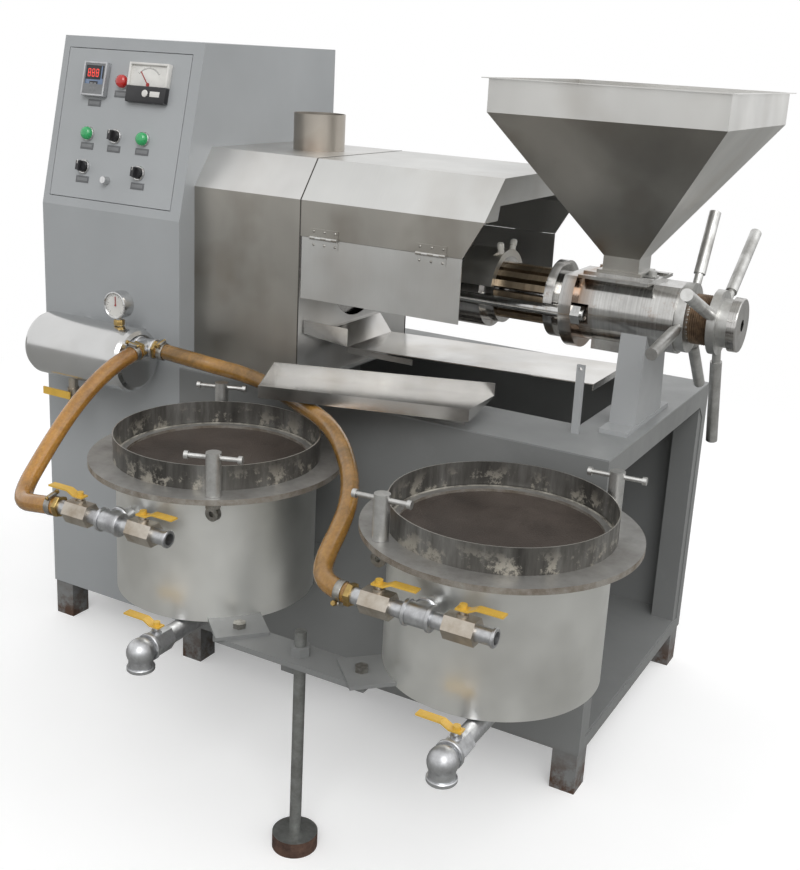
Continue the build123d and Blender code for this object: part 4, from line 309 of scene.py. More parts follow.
def hose_material(name, colour, dark, murk):
    """Reinforced amber hose: clear wall with dark oil inside, fine wound threads and stained lengths."""
    s = Shader(name)
    length = s.noise(7.0, 5.0, 0.6, None, 0.6)
    tone = s.ramp(length, (0.34, dark), (0.52, colour), (0.70, grey(colour, 1.35)))
    threads = s.noise(210.0, 3.0, 0.6, s.stretched((1.0, 0.5, 1.0)))
    tone = s.mix(0.18, tone, s.ramp(threads, (0.35, 0.2), (0.65, 0.85)), "OVERLAY")
    murky = s.ramp(s.noise(26.0, 7.0, 0.7), (0.5, 0.0), (0.75, murk))
    s.set(Base_Color=s.mix(murky, tone, grey(dark, 0.5)))
    s.set(Roughness=0.24, Transmission_Weight=0.18, IOR=1.46, Coat_Weight=0.6, Coat_Roughness=0.12)
    s.set(Subsurface_Weight=0.12)
    s.bsdf.inputs["Subsurface Radius"].default_value = (0.012, 0.006, 0.002)
    s.bump(threads, 0.16, 0.0007)
    return s.mat


# Finishes, with the fine lines of the upright sheets, and darker copies of the steel for the front faces,
# which are painted shade with stains on them
UPRIGHT = (1.0, 1.0, 0.04)
ALONG_X = (0.05, 1.0, 1.0)
STAIN_AND_PAINTED_SHADE = (0.17, 0.14, 0.105)
CABINET = paint("cabinet_paint", (0.37, 0.385, 0.395), 0.38, 0.2)
DOOR = paint("door_paint", (0.385, 0.40, 0.41), 0.36, 0.12)
FRAME = paint("frame_paint", (0.215, 0.220, 0.218), 0.42, 0.8, 0.15, rusty=True)
TABLE = paint("table_paint", (0.275, 0.283, 0.283), 0.36, 0.9, 0.1)
PEDESTAL = paint("pedestal_paint", (0.40, 0.41, 0.415), 0.40, 0.6)
STAINLESS = steel("stainless_sheet", (0.60, 0.60, 0.585), 0.36, (60.0, 1.0, 1.0), bands=0.08, stains=0.25)
HOPPER = steel("hopper_sheet", (0.64, 0.635, 0.615), 0.36, UPRIGHT, (0.34, 0.29, 0.23), 0.30, 0.14, 0.04)
HOUSING = steel("housing_sheet", (0.61, 0.605, 0.59), 0.36, UPRIGHT, (0.32, 0.27, 0.21), 0.30, 0.10, 0.06)
# Darker, browner copy of the housing steel with more stain, for the front faces of the housing and hood:
# painted shade
HOUSING_SHADED_FRONT = steel("housing_front_painted_shade", (0.38, 0.365, 0.335), 0.36, UPRIGHT, STAIN_AND_PAINTED_SHADE, 0.55, 0.16, 0.06)
# Darker copy of the hopper steel with more stain, for the hopper's lower front faces: painted shade
HOPPER_SHADED_FRONT = steel("hopper_front_painted_shade", (0.37, 0.36, 0.335), 0.36, UPRIGHT, STAIN_AND_PAINTED_SHADE, 0.55, 0.22, 0.04)
EXHAUST = steel("exhaust_sheet", (0.42, 0.385, 0.34), 0.36, UPRIGHT, (0.20, 0.13, 0.085), 0.85, 0.22, 0.08)
PAN = steel("pan_sheet", (0.66, 0.65, 0.63), 0.18, (1.0, 40.0, 1.0), (0.38, 0.31, 0.22), 0.45, 0.15)
TANK = steel("tank_sheet", (0.82, 0.82, 0.79), 0.36, (1.0, 1.0, 0.05), (0.36, 0.35, 0.32), 0.35, 0.14, 0.16)
VACUUM = steel("vacuum_sheet", (0.64, 0.64, 0.635), 0.17, ALONG_X, (0.30, 0.29, 0.26), 0.35, 0.12, 0.12)
FLANGE = rough_metal("flange_steel", (0.44, 0.435, 0.42), (0.24, 0.23, 0.215), 0.42, 0.7, 12.0, 0.08)
FLANGE_EDGE = rough_metal("flange_edge", (0.40, 0.38, 0.345), (0.18, 0.145, 0.11), 0.5, 0.6, 30.0, 0.2)
RIM = rough_metal("bare_rim", (0.62, 0.61, 0.58), (0.34, 0.32, 0.28), 0.37, 1.0, 30.0, 0.1)
HEATER = steel("heater_sheet", (0.52, 0.51, 0.48), 0.36, (1.0, 1.0, 1.0), (0.26, 0.19, 0.11), 0.6, 0.2, 0.2)
SHAFT_AXIS = (SHAFT_Y * MM, SHAFT_Z * MM)
CAGE = turned("cage_steel", (0.52, 0.51, 0.495), *SHAFT_AXIS, 0.145)
BARS = turned("bar_steel", (0.34, 0.27, 0.19), *SHAFT_AXIS, 0.34)
FEED = turned("feed_steel", (0.50, 0.495, 0.48), *SHAFT_AXIS, 0.145, 1.0, 1.136, 0.03)
ROD = turned("rod_steel", (0.62, 0.62, 0.61), 0.2425, 0.863, 0.12)
LEVER_STEEL = rough_metal("lever_steel", (0.66, 0.66, 0.645), (0.38, 0.375, 0.36), 0.37, 1.0, 22.0, 0.12)
THREAD = rough_metal("thread_steel", (0.26, 0.18, 0.115), (0.09, 0.06, 0.04), 0.5, 0.7, 90.0)
CASTING = rough_metal("casting_paint", (0.06, 0.065, 0.07), (0.025, 0.025, 0.027), 0.55, 0.2, 40.0)
GALVANISED = rough_metal("galvanised", (0.60, 0.61, 0.62), (0.34, 0.34, 0.35), 0.37, 1.0, 46.0, 0.16)
BOLT = rough_metal("zinc_bolt", (0.46, 0.45, 0.42), (0.18, 0.17, 0.15), 0.37, 1.0, 60.0, 0.12)
BRASS = rough_metal("brass", (0.50, 0.36, 0.14), (0.25, 0.16, 0.06), 0.37, 1.0, 60.0, 0.1)
YELLOW = plastic("lever_sleeve", (0.70, 0.43, 0.06), 0.38, 0.2)
RUST = rough_metal("rusty_foot", (0.15, 0.085, 0.06), (0.05, 0.028, 0.022), 0.72, 0.25, 36.0, 0.6)
JACK = rough_metal("jack_rod", (0.34, 0.35, 0.34), (0.18, 0.18, 0.17), 0.42, 0.8, 30.0, 0.2)
BLACK = plastic("black_plastic", (0.018, 0.018, 0.02), 0.42)
WHITE = plastic("white_plastic", (0.72, 0.71, 0.68), 0.3, 0.3)
GREY_PLASTIC = plastic("meter_grey", (0.20, 0.205, 0.21), 0.4)
CERAMIC = plastic("ceramic", (0.78, 0.76, 0.70), 0.35, 0.3)
RED_LENS = lens("red_lens", (0.55, 0.02, 0.015), 0.10)
GREEN_LENS = lens("green_lens", (0.03, 0.42, 0.13), 0.10)
CHROME = turned("chrome", (0.62, 0.62, 0.62), 0.02, 1.03, 0.10)
BELT = plastic("belt_rubber", (0.02, 0.02, 0.02), 0.6)
PLATE = plastic("bare_plate", (0.13, 0.135, 0.14), 0.35)
SILVER = rough_metal("silver_plastic", (0.55, 0.56, 0.57), (0.42, 0.42, 0.43), 0.3, 0.8, 60.0, 0.05)
CONTROL_BLUE = plastic("controller_blue", (0.16, 0.22, 0.34), 0.3, 0.3)
SLEEVE = plastic("fibre_sleeve", (0.62, 0.58, 0.50), 0.6)
DARK_GAP = plastic("dark_joint", (0.05, 0.045, 0.04), 0.7)
VALVE = rough_metal("valve_nickel", (0.56, 0.52, 0.46), (0.36, 0.31, 0.25), 0.37, 1.0, 26.0, 0.08)
NEEDLE = plastic("needle", (0.35, 0.02, 0.015), 0.4)
DIGIT = lens("digit", (0.9, 0.05, 0.03), 0.7)
INK = plastic("scale_ink", (0.03, 0.03, 0.03), 0.5)
HOSE_LEFT = hose_material("hose_amber_left", (0.44, 0.215, 0.042), (0.23, 0.10, 0.02), 0.45)
HOSE_RIGHT = hose_material("hose_amber_right", (0.36, 0.185, 0.038), (0.14, 0.075, 0.016), 0.6)


def bed_material():
    """Oil-soaked cloth under a fine wire mesh."""
    s = Shader("filter_bed")
    cloud = s.noise(9.0, 6.0, 0.6)
    weave = s.cells(420.0)
    base = s.ramp(cloud, (0.3, (0.030, 0.023, 0.019)), (0.7, (0.066, 0.052, 0.043)))
    s.set(Base_Color=s.mix(0.35, base, s.ramp(weave, (0.1, 0.2), (0.6, 0.8)), "OVERLAY"))
    s.set(Roughness=s.ramp(cloud, (0.3, 0.34), (0.7, 0.62)))
    s.bump(weave, 0.5, 0.0012)
    return s.mat


def sooty_sheet(name, flakes):
    """Sheet black with burnt oil, with pale flakes low on its outside and streaks down its wall."""
    soot, burnt = (0.045, 0.042, 0.038), (0.12, 0.115, 0.105)
    bare, flake = (0.30, 0.295, 0.28), (0.46, 0.43, 0.37)
    foot, spread = 0.606, 22.0
    s = Shader(name)
    streaks = s.noise(16.0, 6.0, 0.65, s.stretched((1.0, 1.0, 0.16)))
    base = s.ramp(streaks, (0.32, soot), (0.5, burnt), (0.72, bare))
    patch = s.ramp(s.noise(26.0, 10.0, 0.74), (0.52, 0.0), (0.58, flakes))
    low = s.ramp(s.math("MULTIPLY", s.math("SUBTRACT", s.part(2), foot), spread), (0.25, 1.0), (0.85, 0.08))
    s.set(Base_Color=s.mix(s.math("MULTIPLY", patch, low), base, flake))
    s.set(Metallic=0.55, Roughness=s.ramp(streaks, (0.3, 0.5), (0.7, 0.3)))
    s.bump(s.noise(70.0, 6.0, 0.7), 0.2, 0.0008)
    return s.mat


BED = bed_material()
RING = sooty_sheet("ring_sheet", 0.85)
CRUST = rough_metal("bed_crust", (0.50, 0.48, 0.42), (0.05, 0.042, 0.035), 0.55, 0.3, 26.0, 0.4)

node_finish = {
    "frame_tubes": FRAME, "frame_panels": FRAME, "table_top": TABLE, "control_cabinet": CABINET,
    "cabinet_door": DOOR, "panel_meters": GREY_PLASTIC, "panel_switches": BOLT, "ammeter_pointer": NEEDLE,
    "selector_left": BLACK, "selector_middle": BLACK, "selector_right": BLACK, "door_knob": CHROME,
    "gearbox_housing": HOUSING, "cage_hood": STAINLESS, "hood_front_door": STAINLESS,
    "hood_back_door": STAINLESS, "gearbox_case": CASTING, "shaft_bearings": CAGE, "worm_shaft": CAGE,
    "pinion_shaft": CAGE, "motor_pulley": CASTING, "drive_belts": BELT, "motor": CASTING,
    "vacuum_pump": CASTING, "press_cage": CAGE, "cage_bars": BARS, "tie_rods": ROD, "feed_block": FEED,
    "lock_ring": LEVER_STEEL, "adjusting_screw": LEVER_STEEL, "end_cap": CAGE, "pedestal": PEDESTAL,
    "hopper": HOPPER, "hopper_gate": LEVER_STEEL, "oil_pan": PAN, "oil_gutter": PAN,
    "vacuum_tank": VACUUM, "gauge_pointer": NEEDLE, "pipe_fittings": GALVANISED,
    "filter_tank_left": TANK, "filter_tank_right": TANK, "filter_rings": RING, "filter_beds": BED,
    "tank_fasteners": BOLT, "carrier_bar": FRAME, "jack_leg": JACK,
    "clamp_left_front": LEVER_STEEL, "clamp_left_back": LEVER_STEEL, "clamp_right_front": LEVER_STEEL,
    "clamp_right_back": LEVER_STEEL,
}
for name, node in nodes.items():
    finish = node_finish.get(name)
    if finish is None and name.startswith("lever_"):
        finish = YELLOW
    if finish is not None:
        node.data.materials.clear()
        node.data.materials.append(finish)


def repaint(name, finish, test):
    """Gives the faces of a node whose middle passes the test another finish."""
    mesh = nodes[name].data
    mesh.materials.append(finish)
    index = len(mesh.materials) - 1
    for face in mesh.polygons:
        if test(face.center / MM, face.normal):
            face.material_index = index


# Front-facing faces near the front, which take a darker copy of their steel as painted shade
def faces_front(centre, normal):
    return normal.y < -0.9 and centre.y < 25.0


def tank_lug(centre, normal):
    tank_x = TANKS_X[0] if centre.x < sum(TANKS_X) / 2 else TANKS_X[1]
    beside = math.hypot(centre.x - tank_x, centre.y - TANKS_Y) > TANK_RADIUS + 1.0
    return beside and 365.9 < centre.z < 372.1


def suction_valve(centre, normal):
    near = any(abs(centre.x - x) < 25.5 for x in VALVES_X)
    return near and centre.y < -460.0 and centre.z > 500.0


def screw_thread(centre, normal):
    from_axis = math.hypot(centre.y - SHAFT_Y, centre.z - SHAFT_Z)
    return 1337.0 < centre.x < 1375.0 and from_axis < 47.0


# The front faces of the housing and hood take the darker steel: painted shade
repaint("gearbox_housing", HOUSING_SHADED_FRONT, faces_front)
repaint("cage_hood", HOUSING_SHADED_FRONT, faces_front)
repaint("gearbox_housing", EXHAUST, lambda c, n: c.z > 1119.0)
# The hopper's lower front faces take the darker steel: painted shade
repaint("hopper", HOPPER_SHADED_FRONT, lambda c, n: n.y < -0.3 and c.z < 1238.0 and c.y < SHAFT_Y)
repaint("jack_leg", RUST, lambda c, n: c.z < 27.0)
repaint("filter_rings", FLANGE, lambda c, n: c.z < RING_FOOT)
repaint("filter_rings", FLANGE_EDGE, lambda c, n: c.z < RING_FOOT - 0.6 and abs(n.z) < 0.3)
repaint("filter_rings", RIM, lambda c, n: c.z > RING_TOP - 1.0 and n.z > 0.5)
for side in ("left", "right"):
    repaint("filter_tank_" + side, FLANGE_EDGE, lambda c, n: c.z > 597.6 and abs(n.z) < 0.3)
    repaint("filter_tank_" + side, FRAME, tank_lug)
repaint("pipe_fittings", VALVE, suction_valve)
repaint("pipe_fittings", VALVE, lambda c, n: abs(c.x - VACUUM_DRAIN_X) < 20.0)
repaint("adjusting_screw", THREAD, screw_thread)


# Hoses on the frame's routes, between the outlet tee and the valves of the two filter tanks
hose_routes = {
    "hose_left": (HOSE_LEFT, [
        (337.0, -140.5, 725.0), (340.0, -178.0, 718.0), (334.0, -222.0, 701.0), (325.0, -266.0, 670.0),
        (322.0, -312.0, 635.0), (323.0, -355.0, 599.0), (328.0, -400.0, 562.0), (338.0, -444.0, 531.0),
        (364.0, -478.0, 517.0), (411.0, -489.5, 527.0), (467.5, -489.5, 535.0),
    ]),
    "hose_right": (HOSE_RIGHT, [
        (360.0, -112.5, 725.0), (405.0, -111.0, 722.0), (450.0, -100.0, 715.0), (497.0, -84.0, 706.0),
        (546.0, -72.0, 699.0), (600.0, -68.0, 688.0), (652.0, -80.0, 678.0), (705.0, -103.0, 673.0),
        (757.0, -130.0, 671.0), (806.0, -163.0, 668.0), (852.0, -200.0, 659.0), (893.0, -240.0, 643.0),
        (930.0, -286.0, 627.0), (958.0, -335.0, 607.0), (972.0, -385.0, 583.0), (980.0, -432.0, 560.0),
        (995.0, -470.0, 543.0), (1030.0, -489.0, 536.0), (1061.5, -489.5, 535.0),
    ]),
}
HOSE_DIAMETER = 0.032
for name, (finish, route) in hose_routes.items():
    data = bpy.data.curves.new(name + "_line", "CURVE")
    data.dimensions = "3D"
    spline = data.splines.new("NURBS")
    spline.points.add(len(route) - 1)
    for point, place in zip(spline.points, route):
        point.co = (*[value * MM for value in place], 1.0)
    spline.order_u = 3
    spline.use_endpoint_u = True
    data.resolution_u = 16
    data.bevel_depth = HOSE_DIAMETER / 2
    data.bevel_resolution = 8
    data.use_fill_caps = True
    data.materials.append(finish)
    hose = bpy.data.objects.new(name + "_line", data)
    scene.collection.objects.link(hose)
    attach(hose, "root")
    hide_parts(name)


class Form:
    """One mesh that collects small parts of one finish on one body. Sizes in millimetres."""

    def __init__(self):
        self.mesh = bmesh.new()

    def ring_loop(self, centre, u, v, radius, sides):
        """The corners of a ring about a centre, in the plane of two directions."""
        turns = [2 * math.pi * i / sides for i in range(sides)]
        return [
            self.mesh.verts.new((centre + u * (radius * math.cos(a)) + v * (radius * math.sin(a))) * MM)
            for a in turns
        ]

    def close(self, loops):
        """Flat ends on the first and the last loop."""
        self.mesh.faces.new(list(reversed(loops[0])))
        self.mesh.faces.new(loops[-1])

    def bridge(self, a, b):
        """A strip of faces between two closed loops of corners."""
        for i in range(len(a)):
            j = (i + 1) % len(a)
            self.mesh.faces.new((a[i], a[j], b[j], b[i]))

    def lathe(self, origin, axis, profile, sides=32):
        """A closed turned form; profile is (distance along the axis, radius) from one end to the other."""
        axis = Vector(axis).normalized()
        u = axis.orthogonal().normalized()
        v = axis.cross(u)
        origin = Vector(origin)
        loops = [self.ring_loop(origin + axis * h, u, v, r, sides) for h, r in profile]
        for a, b in zip(loops, loops[1:]):
            self.bridge(a, b)
        self.close(loops)
        return self

    def bolt(self, origin, axis, across, height, washer=0.0):
        """A chamfered hexagon head on a washer."""
        if washer:
            self.lathe(origin, axis, [(0.0, across * 0.72), (washer * 0.8, across * 0.72),
                                      (washer, across * 0.68)], 24)
        r = across / math.sqrt(3.0)
        self.lathe(origin, axis, [(washer, r * 0.97), (washer + 0.06 * height, r),
                                  (washer + 0.82 * height, r), (washer + height, r * 0.86)], 6)
        return self

    def dome(self, origin, axis, radius, height, steps, sides):
        """A round rivet head whose edge is sunk into its sheet."""
        sunk, tip = -0.4, 0.01
        turns = [math.pi / 2 * i / steps for i in range(steps + 1)]
        profile = [(height * math.sin(a), max(radius * math.cos(a), tip)) for a in turns]
        return self.lathe(origin, axis, [(sunk, radius)] + profile, sides)

    def tube(self, points, radius, sides=12):
        """A round bar along straight runs between points."""
        points = [Vector(p) for p in points]
        way = (points[1] - points[0]).normalized()
        u = way.orthogonal().normalized()
        loops = []
        for i, point in enumerate(points):
            before = (point - points[i - 1]).normalized() if i else way
            after = (points[i + 1] - point).normalized() if i + 1 < len(points) else before
            tangent = (before + after).normalized()
            u = (u - tangent * u.dot(tangent)).normalized()
            loops.append(self.ring_loop(point, u, tangent.cross(u), radius, sides))
        for a, b in zip(loops, loops[1:]):
            self.bridge(a, b)
        self.close(loops)
        return self

    def slab(self, corner, u, v, w):
        """A plate from a corner with three edge vectors, and softened edges."""
        corner, u, v, w = Vector(corner), Vector(u), Vector(v), Vector(w)
        verts = [self.mesh.verts.new((corner + u * a + v * b + w * c) * MM)
                 for c in (0, 1) for b in (0, 1) for a in (0, 1)]
        quads = [(0, 2, 3, 1), (4, 5, 7, 6), (0, 1, 5, 4), (2, 6, 7, 3), (0, 4, 6, 2), (1, 3, 7, 5)]
        faces = [self.mesh.faces.new([verts[i] for i in quad]) for quad in quads]
        size = min(u.length, v.length, w.length)
        edges = {edge for face in faces for edge in face.edges}
        bmesh.ops.bevel(self.mesh, geom=list(edges), offset=size * 0.22 * MM, segments=2, affect="EDGES",
                        profile=0.5)
        return self

    def hoop(self, origin, axis, profile, sides=48):
        """A turned ring from a closed profile of (distance along the axis, radius)."""
        axis = Vector(axis).normalized()
        u = axis.orthogonal().normalized()
        v = axis.cross(u)
        origin = Vector(origin)
        loops = [self.ring_loop(origin + axis * h, u, v, r, sides) for h, r in profile]
        for a, b in zip(loops, loops[1:] + loops[:1]):
            self.bridge(a, b)
        return self

    def arc(self, origin, axis, profile, start, end, steps):
        """Part of a ring about an axis along X, by degrees from the top, with closed ends."""
        origin, axis = Vector(origin), Vector(axis)
        loops = []
        for i in range(steps + 1):
            a = math.radians(start + (end - start) * i / steps)
            out = Vector((0.0, -math.sin(a), math.cos(a)))
            loops.append([self.mesh.verts.new((origin + axis * h + out * r) * MM) for h, r in profile])
        for a, b in zip(loops, loops[1:]):
            self.bridge(a, b)
        self.close(loops)
        return self

    def prism(self, points, thick):
        """A flat plate between its corners and the same corners moved by its thickness."""
        near = [self.mesh.verts.new(Vector(p) * MM) for p in points]
        far = [self.mesh.verts.new((Vector(p) + Vector(thick)) * MM) for p in points]
        self.mesh.faces.new(near)
        self.mesh.faces.new(list(reversed(far)))
        self.bridge(near, far)
        return self

    def done(self, name, finish, body, slot):
        """Ends the mesh as a named piece that rides on a body."""
        bmesh.ops.recalc_face_normals(self.mesh, faces=self.mesh.faces[:])
        data = bpy.data.meshes.new(name)
        self.mesh.to_mesh(data)
        self.mesh.free()
        data.materials.append(finish)
        piece = bpy.data.objects.new(name, data)
        scene.collection.objects.link(piece)
        for face in data.polygons:
            face.use_smooth = True
        data.set_sharp_from_angle(angle=math.radians(35.0))
        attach(piece, body)
        return piece


def studio_floor():
    """A pale floor; where the camera sees it, it turns to pure white away from the machine."""
    white_from, white_over = 1.3, 1.6
    data = bpy.data.meshes.new("floor")
    data.from_pydata([(-12, -12, 0), (14, -12, 0), (14, 12, 0), (-12, 12, 0)], [], [(0, 1, 2, 3)])
    floor = bpy.data.objects.new("floor", data)
    scene.collection.objects.link(floor)
    s = Shader("studio_floor")
    path = s.tree.nodes.new("ShaderNodeLightPath").outputs["Is Camera Ray"]
    pale = s.ramp(s.noise(3.0, 4.0), (0.3, 0.80), (0.7, 0.83))
    s.set(Base_Color=s.mix(path, (0.36, 0.36, 0.35), pale), Roughness=0.85)
    s.bsdf.inputs["Specular IOR Level"].default_value = 0.1
    far = s.math("SUBTRACT", s.around(0.65, 0.0, 2), white_from)
    far = s.math("MINIMUM", s.math("MAXIMUM", s.math("DIVIDE", far, white_over), 0.0), 1.0)
    glow = s.tree.nodes.new("ShaderNodeEmission")
    glow.inputs["Color"].default_value = WHITE_LIGHT
    blend = s.tree.nodes.new("ShaderNodeMixShader")
    s.put(blend.inputs[0], s.math("MULTIPLY", path, far))
    s.put(blend.inputs[1], s.bsdf.outputs[0])
    s.put(blend.inputs[2], glow.outputs[0])
    s.put(s.tree.nodes["Material Output"].inputs["Surface"], blend.outputs[0])
    s.bsdf.inputs["Emission Color"].default_value = WHITE_LIGHT
    s.put(s.bsdf.inputs["Emission Strength"], s.math("MULTIPLY", path, 0.30))
    data.materials.append(s.mat)


def studio_world():
    """A world that is white where it is seen or mirrored, and a plain level as light."""
    world = bpy.data.worlds.new("studio")
    scene.world = world
    world.use_nodes = True
    tree = world.node_tree
    background = tree.nodes["Background"]
    background.inputs["Color"].default_value = WHITE_LIGHT
    path = tree.nodes.new("ShaderNodeLightPath")
    seen = tree.nodes.new("ShaderNodeMath")
    mirrored = tree.nodes.new("ShaderNodeMath")
    seen.operation = mirrored.operation = "MAXIMUM"
    tree.links.new(path.outputs["Is Glossy Ray"], mirrored.inputs[0])
    tree.links.new(path.outputs["Is Transmission Ray"], mirrored.inputs[1])
    tree.links.new(path.outputs["Is Camera Ray"], seen.inputs[0])
    tree.links.new(mirrored.outputs[0], seen.inputs[1])
    level = tree.nodes.new("ShaderNodeMapRange")
    level.inputs["To Min"].default_value = 0.62
    level.inputs["To Max"].default_value = 1.0
    tree.links.new(seen.outputs[0], level.inputs["Value"])
    tree.links.new(level.outputs[0], background.inputs["Strength"])


def sun(name, strength, angle, direction):
    data = bpy.data.lights.new(name, "SUN")
    data.energy = strength
    data.angle = math.radians(angle)
    lamp = bpy.data.objects.new(name, data)
    lamp.rotation_euler = Vector(direction).to_track_quat("-Z", "Y").to_euler()
    scene.collection.objects.link(lamp)


WHITE_LIGHT = (1.0, 1.0, 1.0, 1.0)
studio_floor()
studio_world()
sun("key", 1.3, 35.0, (-0.5, 0.85, -0.9))
sun("fill", 0.48, 60.0, (-0.9, -0.1, -0.7))

# Control panel: places are across and up the sloping door from its corner, and heights over its face
SLOPE_UP = Vector((0.0, 0.2287, 0.9735))
SLOPE_OUT = Vector((0.0, -0.9735, 0.2287))
PANEL_CORNER = Vector((-27.5, -27.5, 971.0))
RED_LAMP, LEFT_LAMP, RIGHT_LAMP = (179.0, 269.0), (103.5, 156.0), (253.5, 156.0)
LEFT_SELECTOR, MIDDLE_SELECTOR, RIGHT_SELECTOR = (103.5, 86.5), (178.0, 156.0), (253.5, 86.5)
LABELS = [
    (107.0, 221.0), (176.0, 243.5), (103.0, 130.5), (253.0, 130.5), (177.0, 130.0), (103.0, 60.0),
    (254.0, 60.0),
]


def on_panel(x, w, h=0.0):
    return PANEL_CORNER + X * x + SLOPE_UP * w + SLOPE_OUT * h


def panel_slab(form, x0, x1, w0, w1, h0, h1):
    return form.slab(on_panel(x0, w0, h0), X * (x1 - x0), SLOPE_UP * (w1 - w0), SLOPE_OUT * (h1 - h0))


def border_boxes(outer, inner):
    """The sides, foot and top of a border on the panel, without a foot where it has no height."""
    x0, x1, w0, w1 = outer
    in_x0, in_x1, in_w0, in_w1 = inner
    boxes = [(x0, in_x0, w0, w1), (in_x1, x1, w0, w1), (in_x0, in_x1, w0, in_w0), (in_x0, in_x1, in_w1, w1)]
    return [box for box in boxes if box[3] > box[2]]


def dial_ways(degrees, across, up):
    """The way out from a dial's centre at an angle, and the way across it."""
    turn = math.radians(degrees)
    out = across * math.cos(turn) + up * math.sin(turn)
    side = across * math.sin(turn) - up * math.cos(turn)
    return out, side


def controller_case():
    """Silver rim and blue face of the temperature controller."""
    outer, inner = (75.4, 138.6, 233.4, 304.6), (79.5, 134.0, 237.5, 300.5)
    rim = Form()
    for box in border_boxes(outer, inner):
        panel_slab(rim, *box, 0.4, 13.0)
    rim.done("controller_rim", SILVER, "door", "meter_plastic")
    face = Form()
    panel_slab(face, *inner, 1.0, 10.6)
    face.done("controller_face", CONTROL_BLUE, "door", "meter_plastic")


def controller_display():
    """The controller's dark windows and the three red digits in the upper one."""
    windows = Form()
    for box in ((83.0, 123.0, 268.0, 298.0), (95.0, 117.0, 241.0, 264.0), (127.0, 132.0, 270.0, 299.0)):
        panel_slab(windows, *box, 10.0, 11.4)
    windows.done("controller_window", BLACK, "door", "black_plastic")
    digits = Form()
    digit_width, pitch, stroke = 6.0, 11.0, 1.6
    for i in range(3):
        x = 89.0 + pitch * i
        for w in (288.0, 280.5, 273.0):
            panel_slab(digits, x, x + digit_width, w, w + stroke, 11.2, 11.7)
        for edge in (x, x + digit_width):
            panel_slab(digits, edge - stroke / 2, edge + stroke / 2, 274.0, 288.5, 11.2, 11.7)
    digits.done("controller_digits", DIGIT, "door", "lens")


def controller_keys():
    """Four small keys under the display."""
    size, pitch = 7.5, 10.0
    keys = Form()
    for i in range(2):
        for j in range(2):
            x, w = 97.5 + pitch * i, 243.5 + pitch * j
            panel_slab(keys, x, x + size, w, w + size, 11.2, 12.2)
    keys.done("controller_keys", GREY_PLASTIC, "door", "meter_plastic")


def ammeter_case():
    """White cover round the recessed scale, black skirt and its clear adjuster."""
    cover = Form()
    for box in border_boxes((198.0, 302.0, 262.0, 309.5), (203.0, 297.0, 262.0, 304.8)):
        panel_slab(cover, *box, 0.2, 12.8)
    panel_slab(cover, 202.5, 297.5, 261.5, 305.2, 5.0, 8.2)
    cover.done("ammeter_cover", WHITE, "door", "meter_plastic")
    skirt = Form()
    panel_slab(skirt, 197.8, 302.2, 228.4, 262.2, 0.2, 13.2)
    skirt.done("ammeter_skirt", BLACK, "door", "black_plastic")
    adjuster = Form()
    button = [(0.0, 7.5), (1.6, 7.5), (2.6, 6.4), (2.8, 3.0)]
    adjuster.lathe(on_panel(250.0, 247.0, 12.8), SLOPE_OUT, button, 28)
    panel_slab(adjuster, 263.0, 288.0, 241.0, 252.0, 12.6, 14.0)
    adjuster.done("ammeter_adjuster", WHITE, "door", "meter_plastic")


def ammeter_scale():
    """The scale's ticks and the arc under them, from 140 to 40 degrees round the needle's hub."""
    ticks, start, sweep, height = 20, 140.0, 100.0, SLOPE_OUT * 8.1
    hub = on_panel(250.0, 265.5)
    thick = SLOPE_OUT * 0.3
    scale = Form()
    for i in range(ticks + 1):
        way, side = dial_ways(start - sweep * i / ticks, X, SLOPE_UP)
        long = 4.4 if i % 5 == 0 else 2.4
        scale.slab(hub + way * 33.0 - side * 0.3 + height, way * long, side * 0.6, thick)
    corners = [
        hub + dial_ways(start - sweep * i / ticks, X, SLOPE_UP)[0] * 32.6 + height for i in range(ticks + 1)
    ]
    for a, b in zip(corners, corners[1:]):
        scale.slab(a, b - a, (b - a).cross(SLOPE_OUT).normalized() * -0.5, thick)
    scale.done("ammeter_scale", INK, "door", "black_plastic")


def lamps():
    """Coloured caps of the three lamps."""
    cap_profile = [(0.0, 13.2), (5.0, 13.6), (9.0, 13.0), (12.0, 11.2), (13.8, 8.0), (14.8, 4.0), (15.1, 1.0)]
    for name, place, finish in (
        ("red_lens", RED_LAMP, RED_LENS),
        ("green_lens_left", LEFT_LAMP, GREEN_LENS),
        ("green_lens_right", RIGHT_LAMP, GREEN_LENS),
    ):
        cap = Form()
        cap.lathe(on_panel(*place, 2.0), SLOPE_OUT, cap_profile, 40)
        cap.done(name, finish, "door", "lens")


def switch_bezels():
    """Chrome rings round the lamps and the rotary switches."""
    ring = [(0.0, 12.4), (0.0, 15.4), (3.2, 15.2), (4.8, 13.8), (4.8, 12.4)]
    bezels = Form()
    for place in (RED_LAMP, LEFT_LAMP, RIGHT_LAMP, LEFT_SELECTOR, RIGHT_SELECTOR, MIDDLE_SELECTOR):
        bezels.hoop(on_panel(*place), SLOPE_OUT, ring, 40)
    bezels.done("switch_bezels", CHROME, "door", "machined")


def selector_marks():
    """White marks on the grips of the rotary switches, which turn with them."""
    for name, (x, w) in (
        ("selector_left", LEFT_SELECTOR),
        ("selector_middle", MIDDLE_SELECTOR),
        ("selector_right", RIGHT_SELECTOR),
    ):
        mark = Form()
        panel_slab(mark, x - 0.7, x + 0.7, w + 3.0, w + 11.0, 22.1, 22.6)
        mark.done(name + "_mark", WHITE, name, "meter_plastic")


def label_plates():
    """Bare plates over and under the switches, each with a paler inset."""
    plates, insets = Form(), Form()
    for x, w in LABELS:
        panel_slab(plates, x - 17.5, x + 17.5, w - 7.0, w + 7.0, -0.1, 0.9)
        panel_slab(insets, x - 14.0, x + 14.0, w - 3.4, w + 3.4, 0.6, 1.1)
    plates.done("label_plates", PLATE, "door", "black_plastic")
    insets.done("label_insets", GREY_PLASTIC, "door", "meter_plastic")


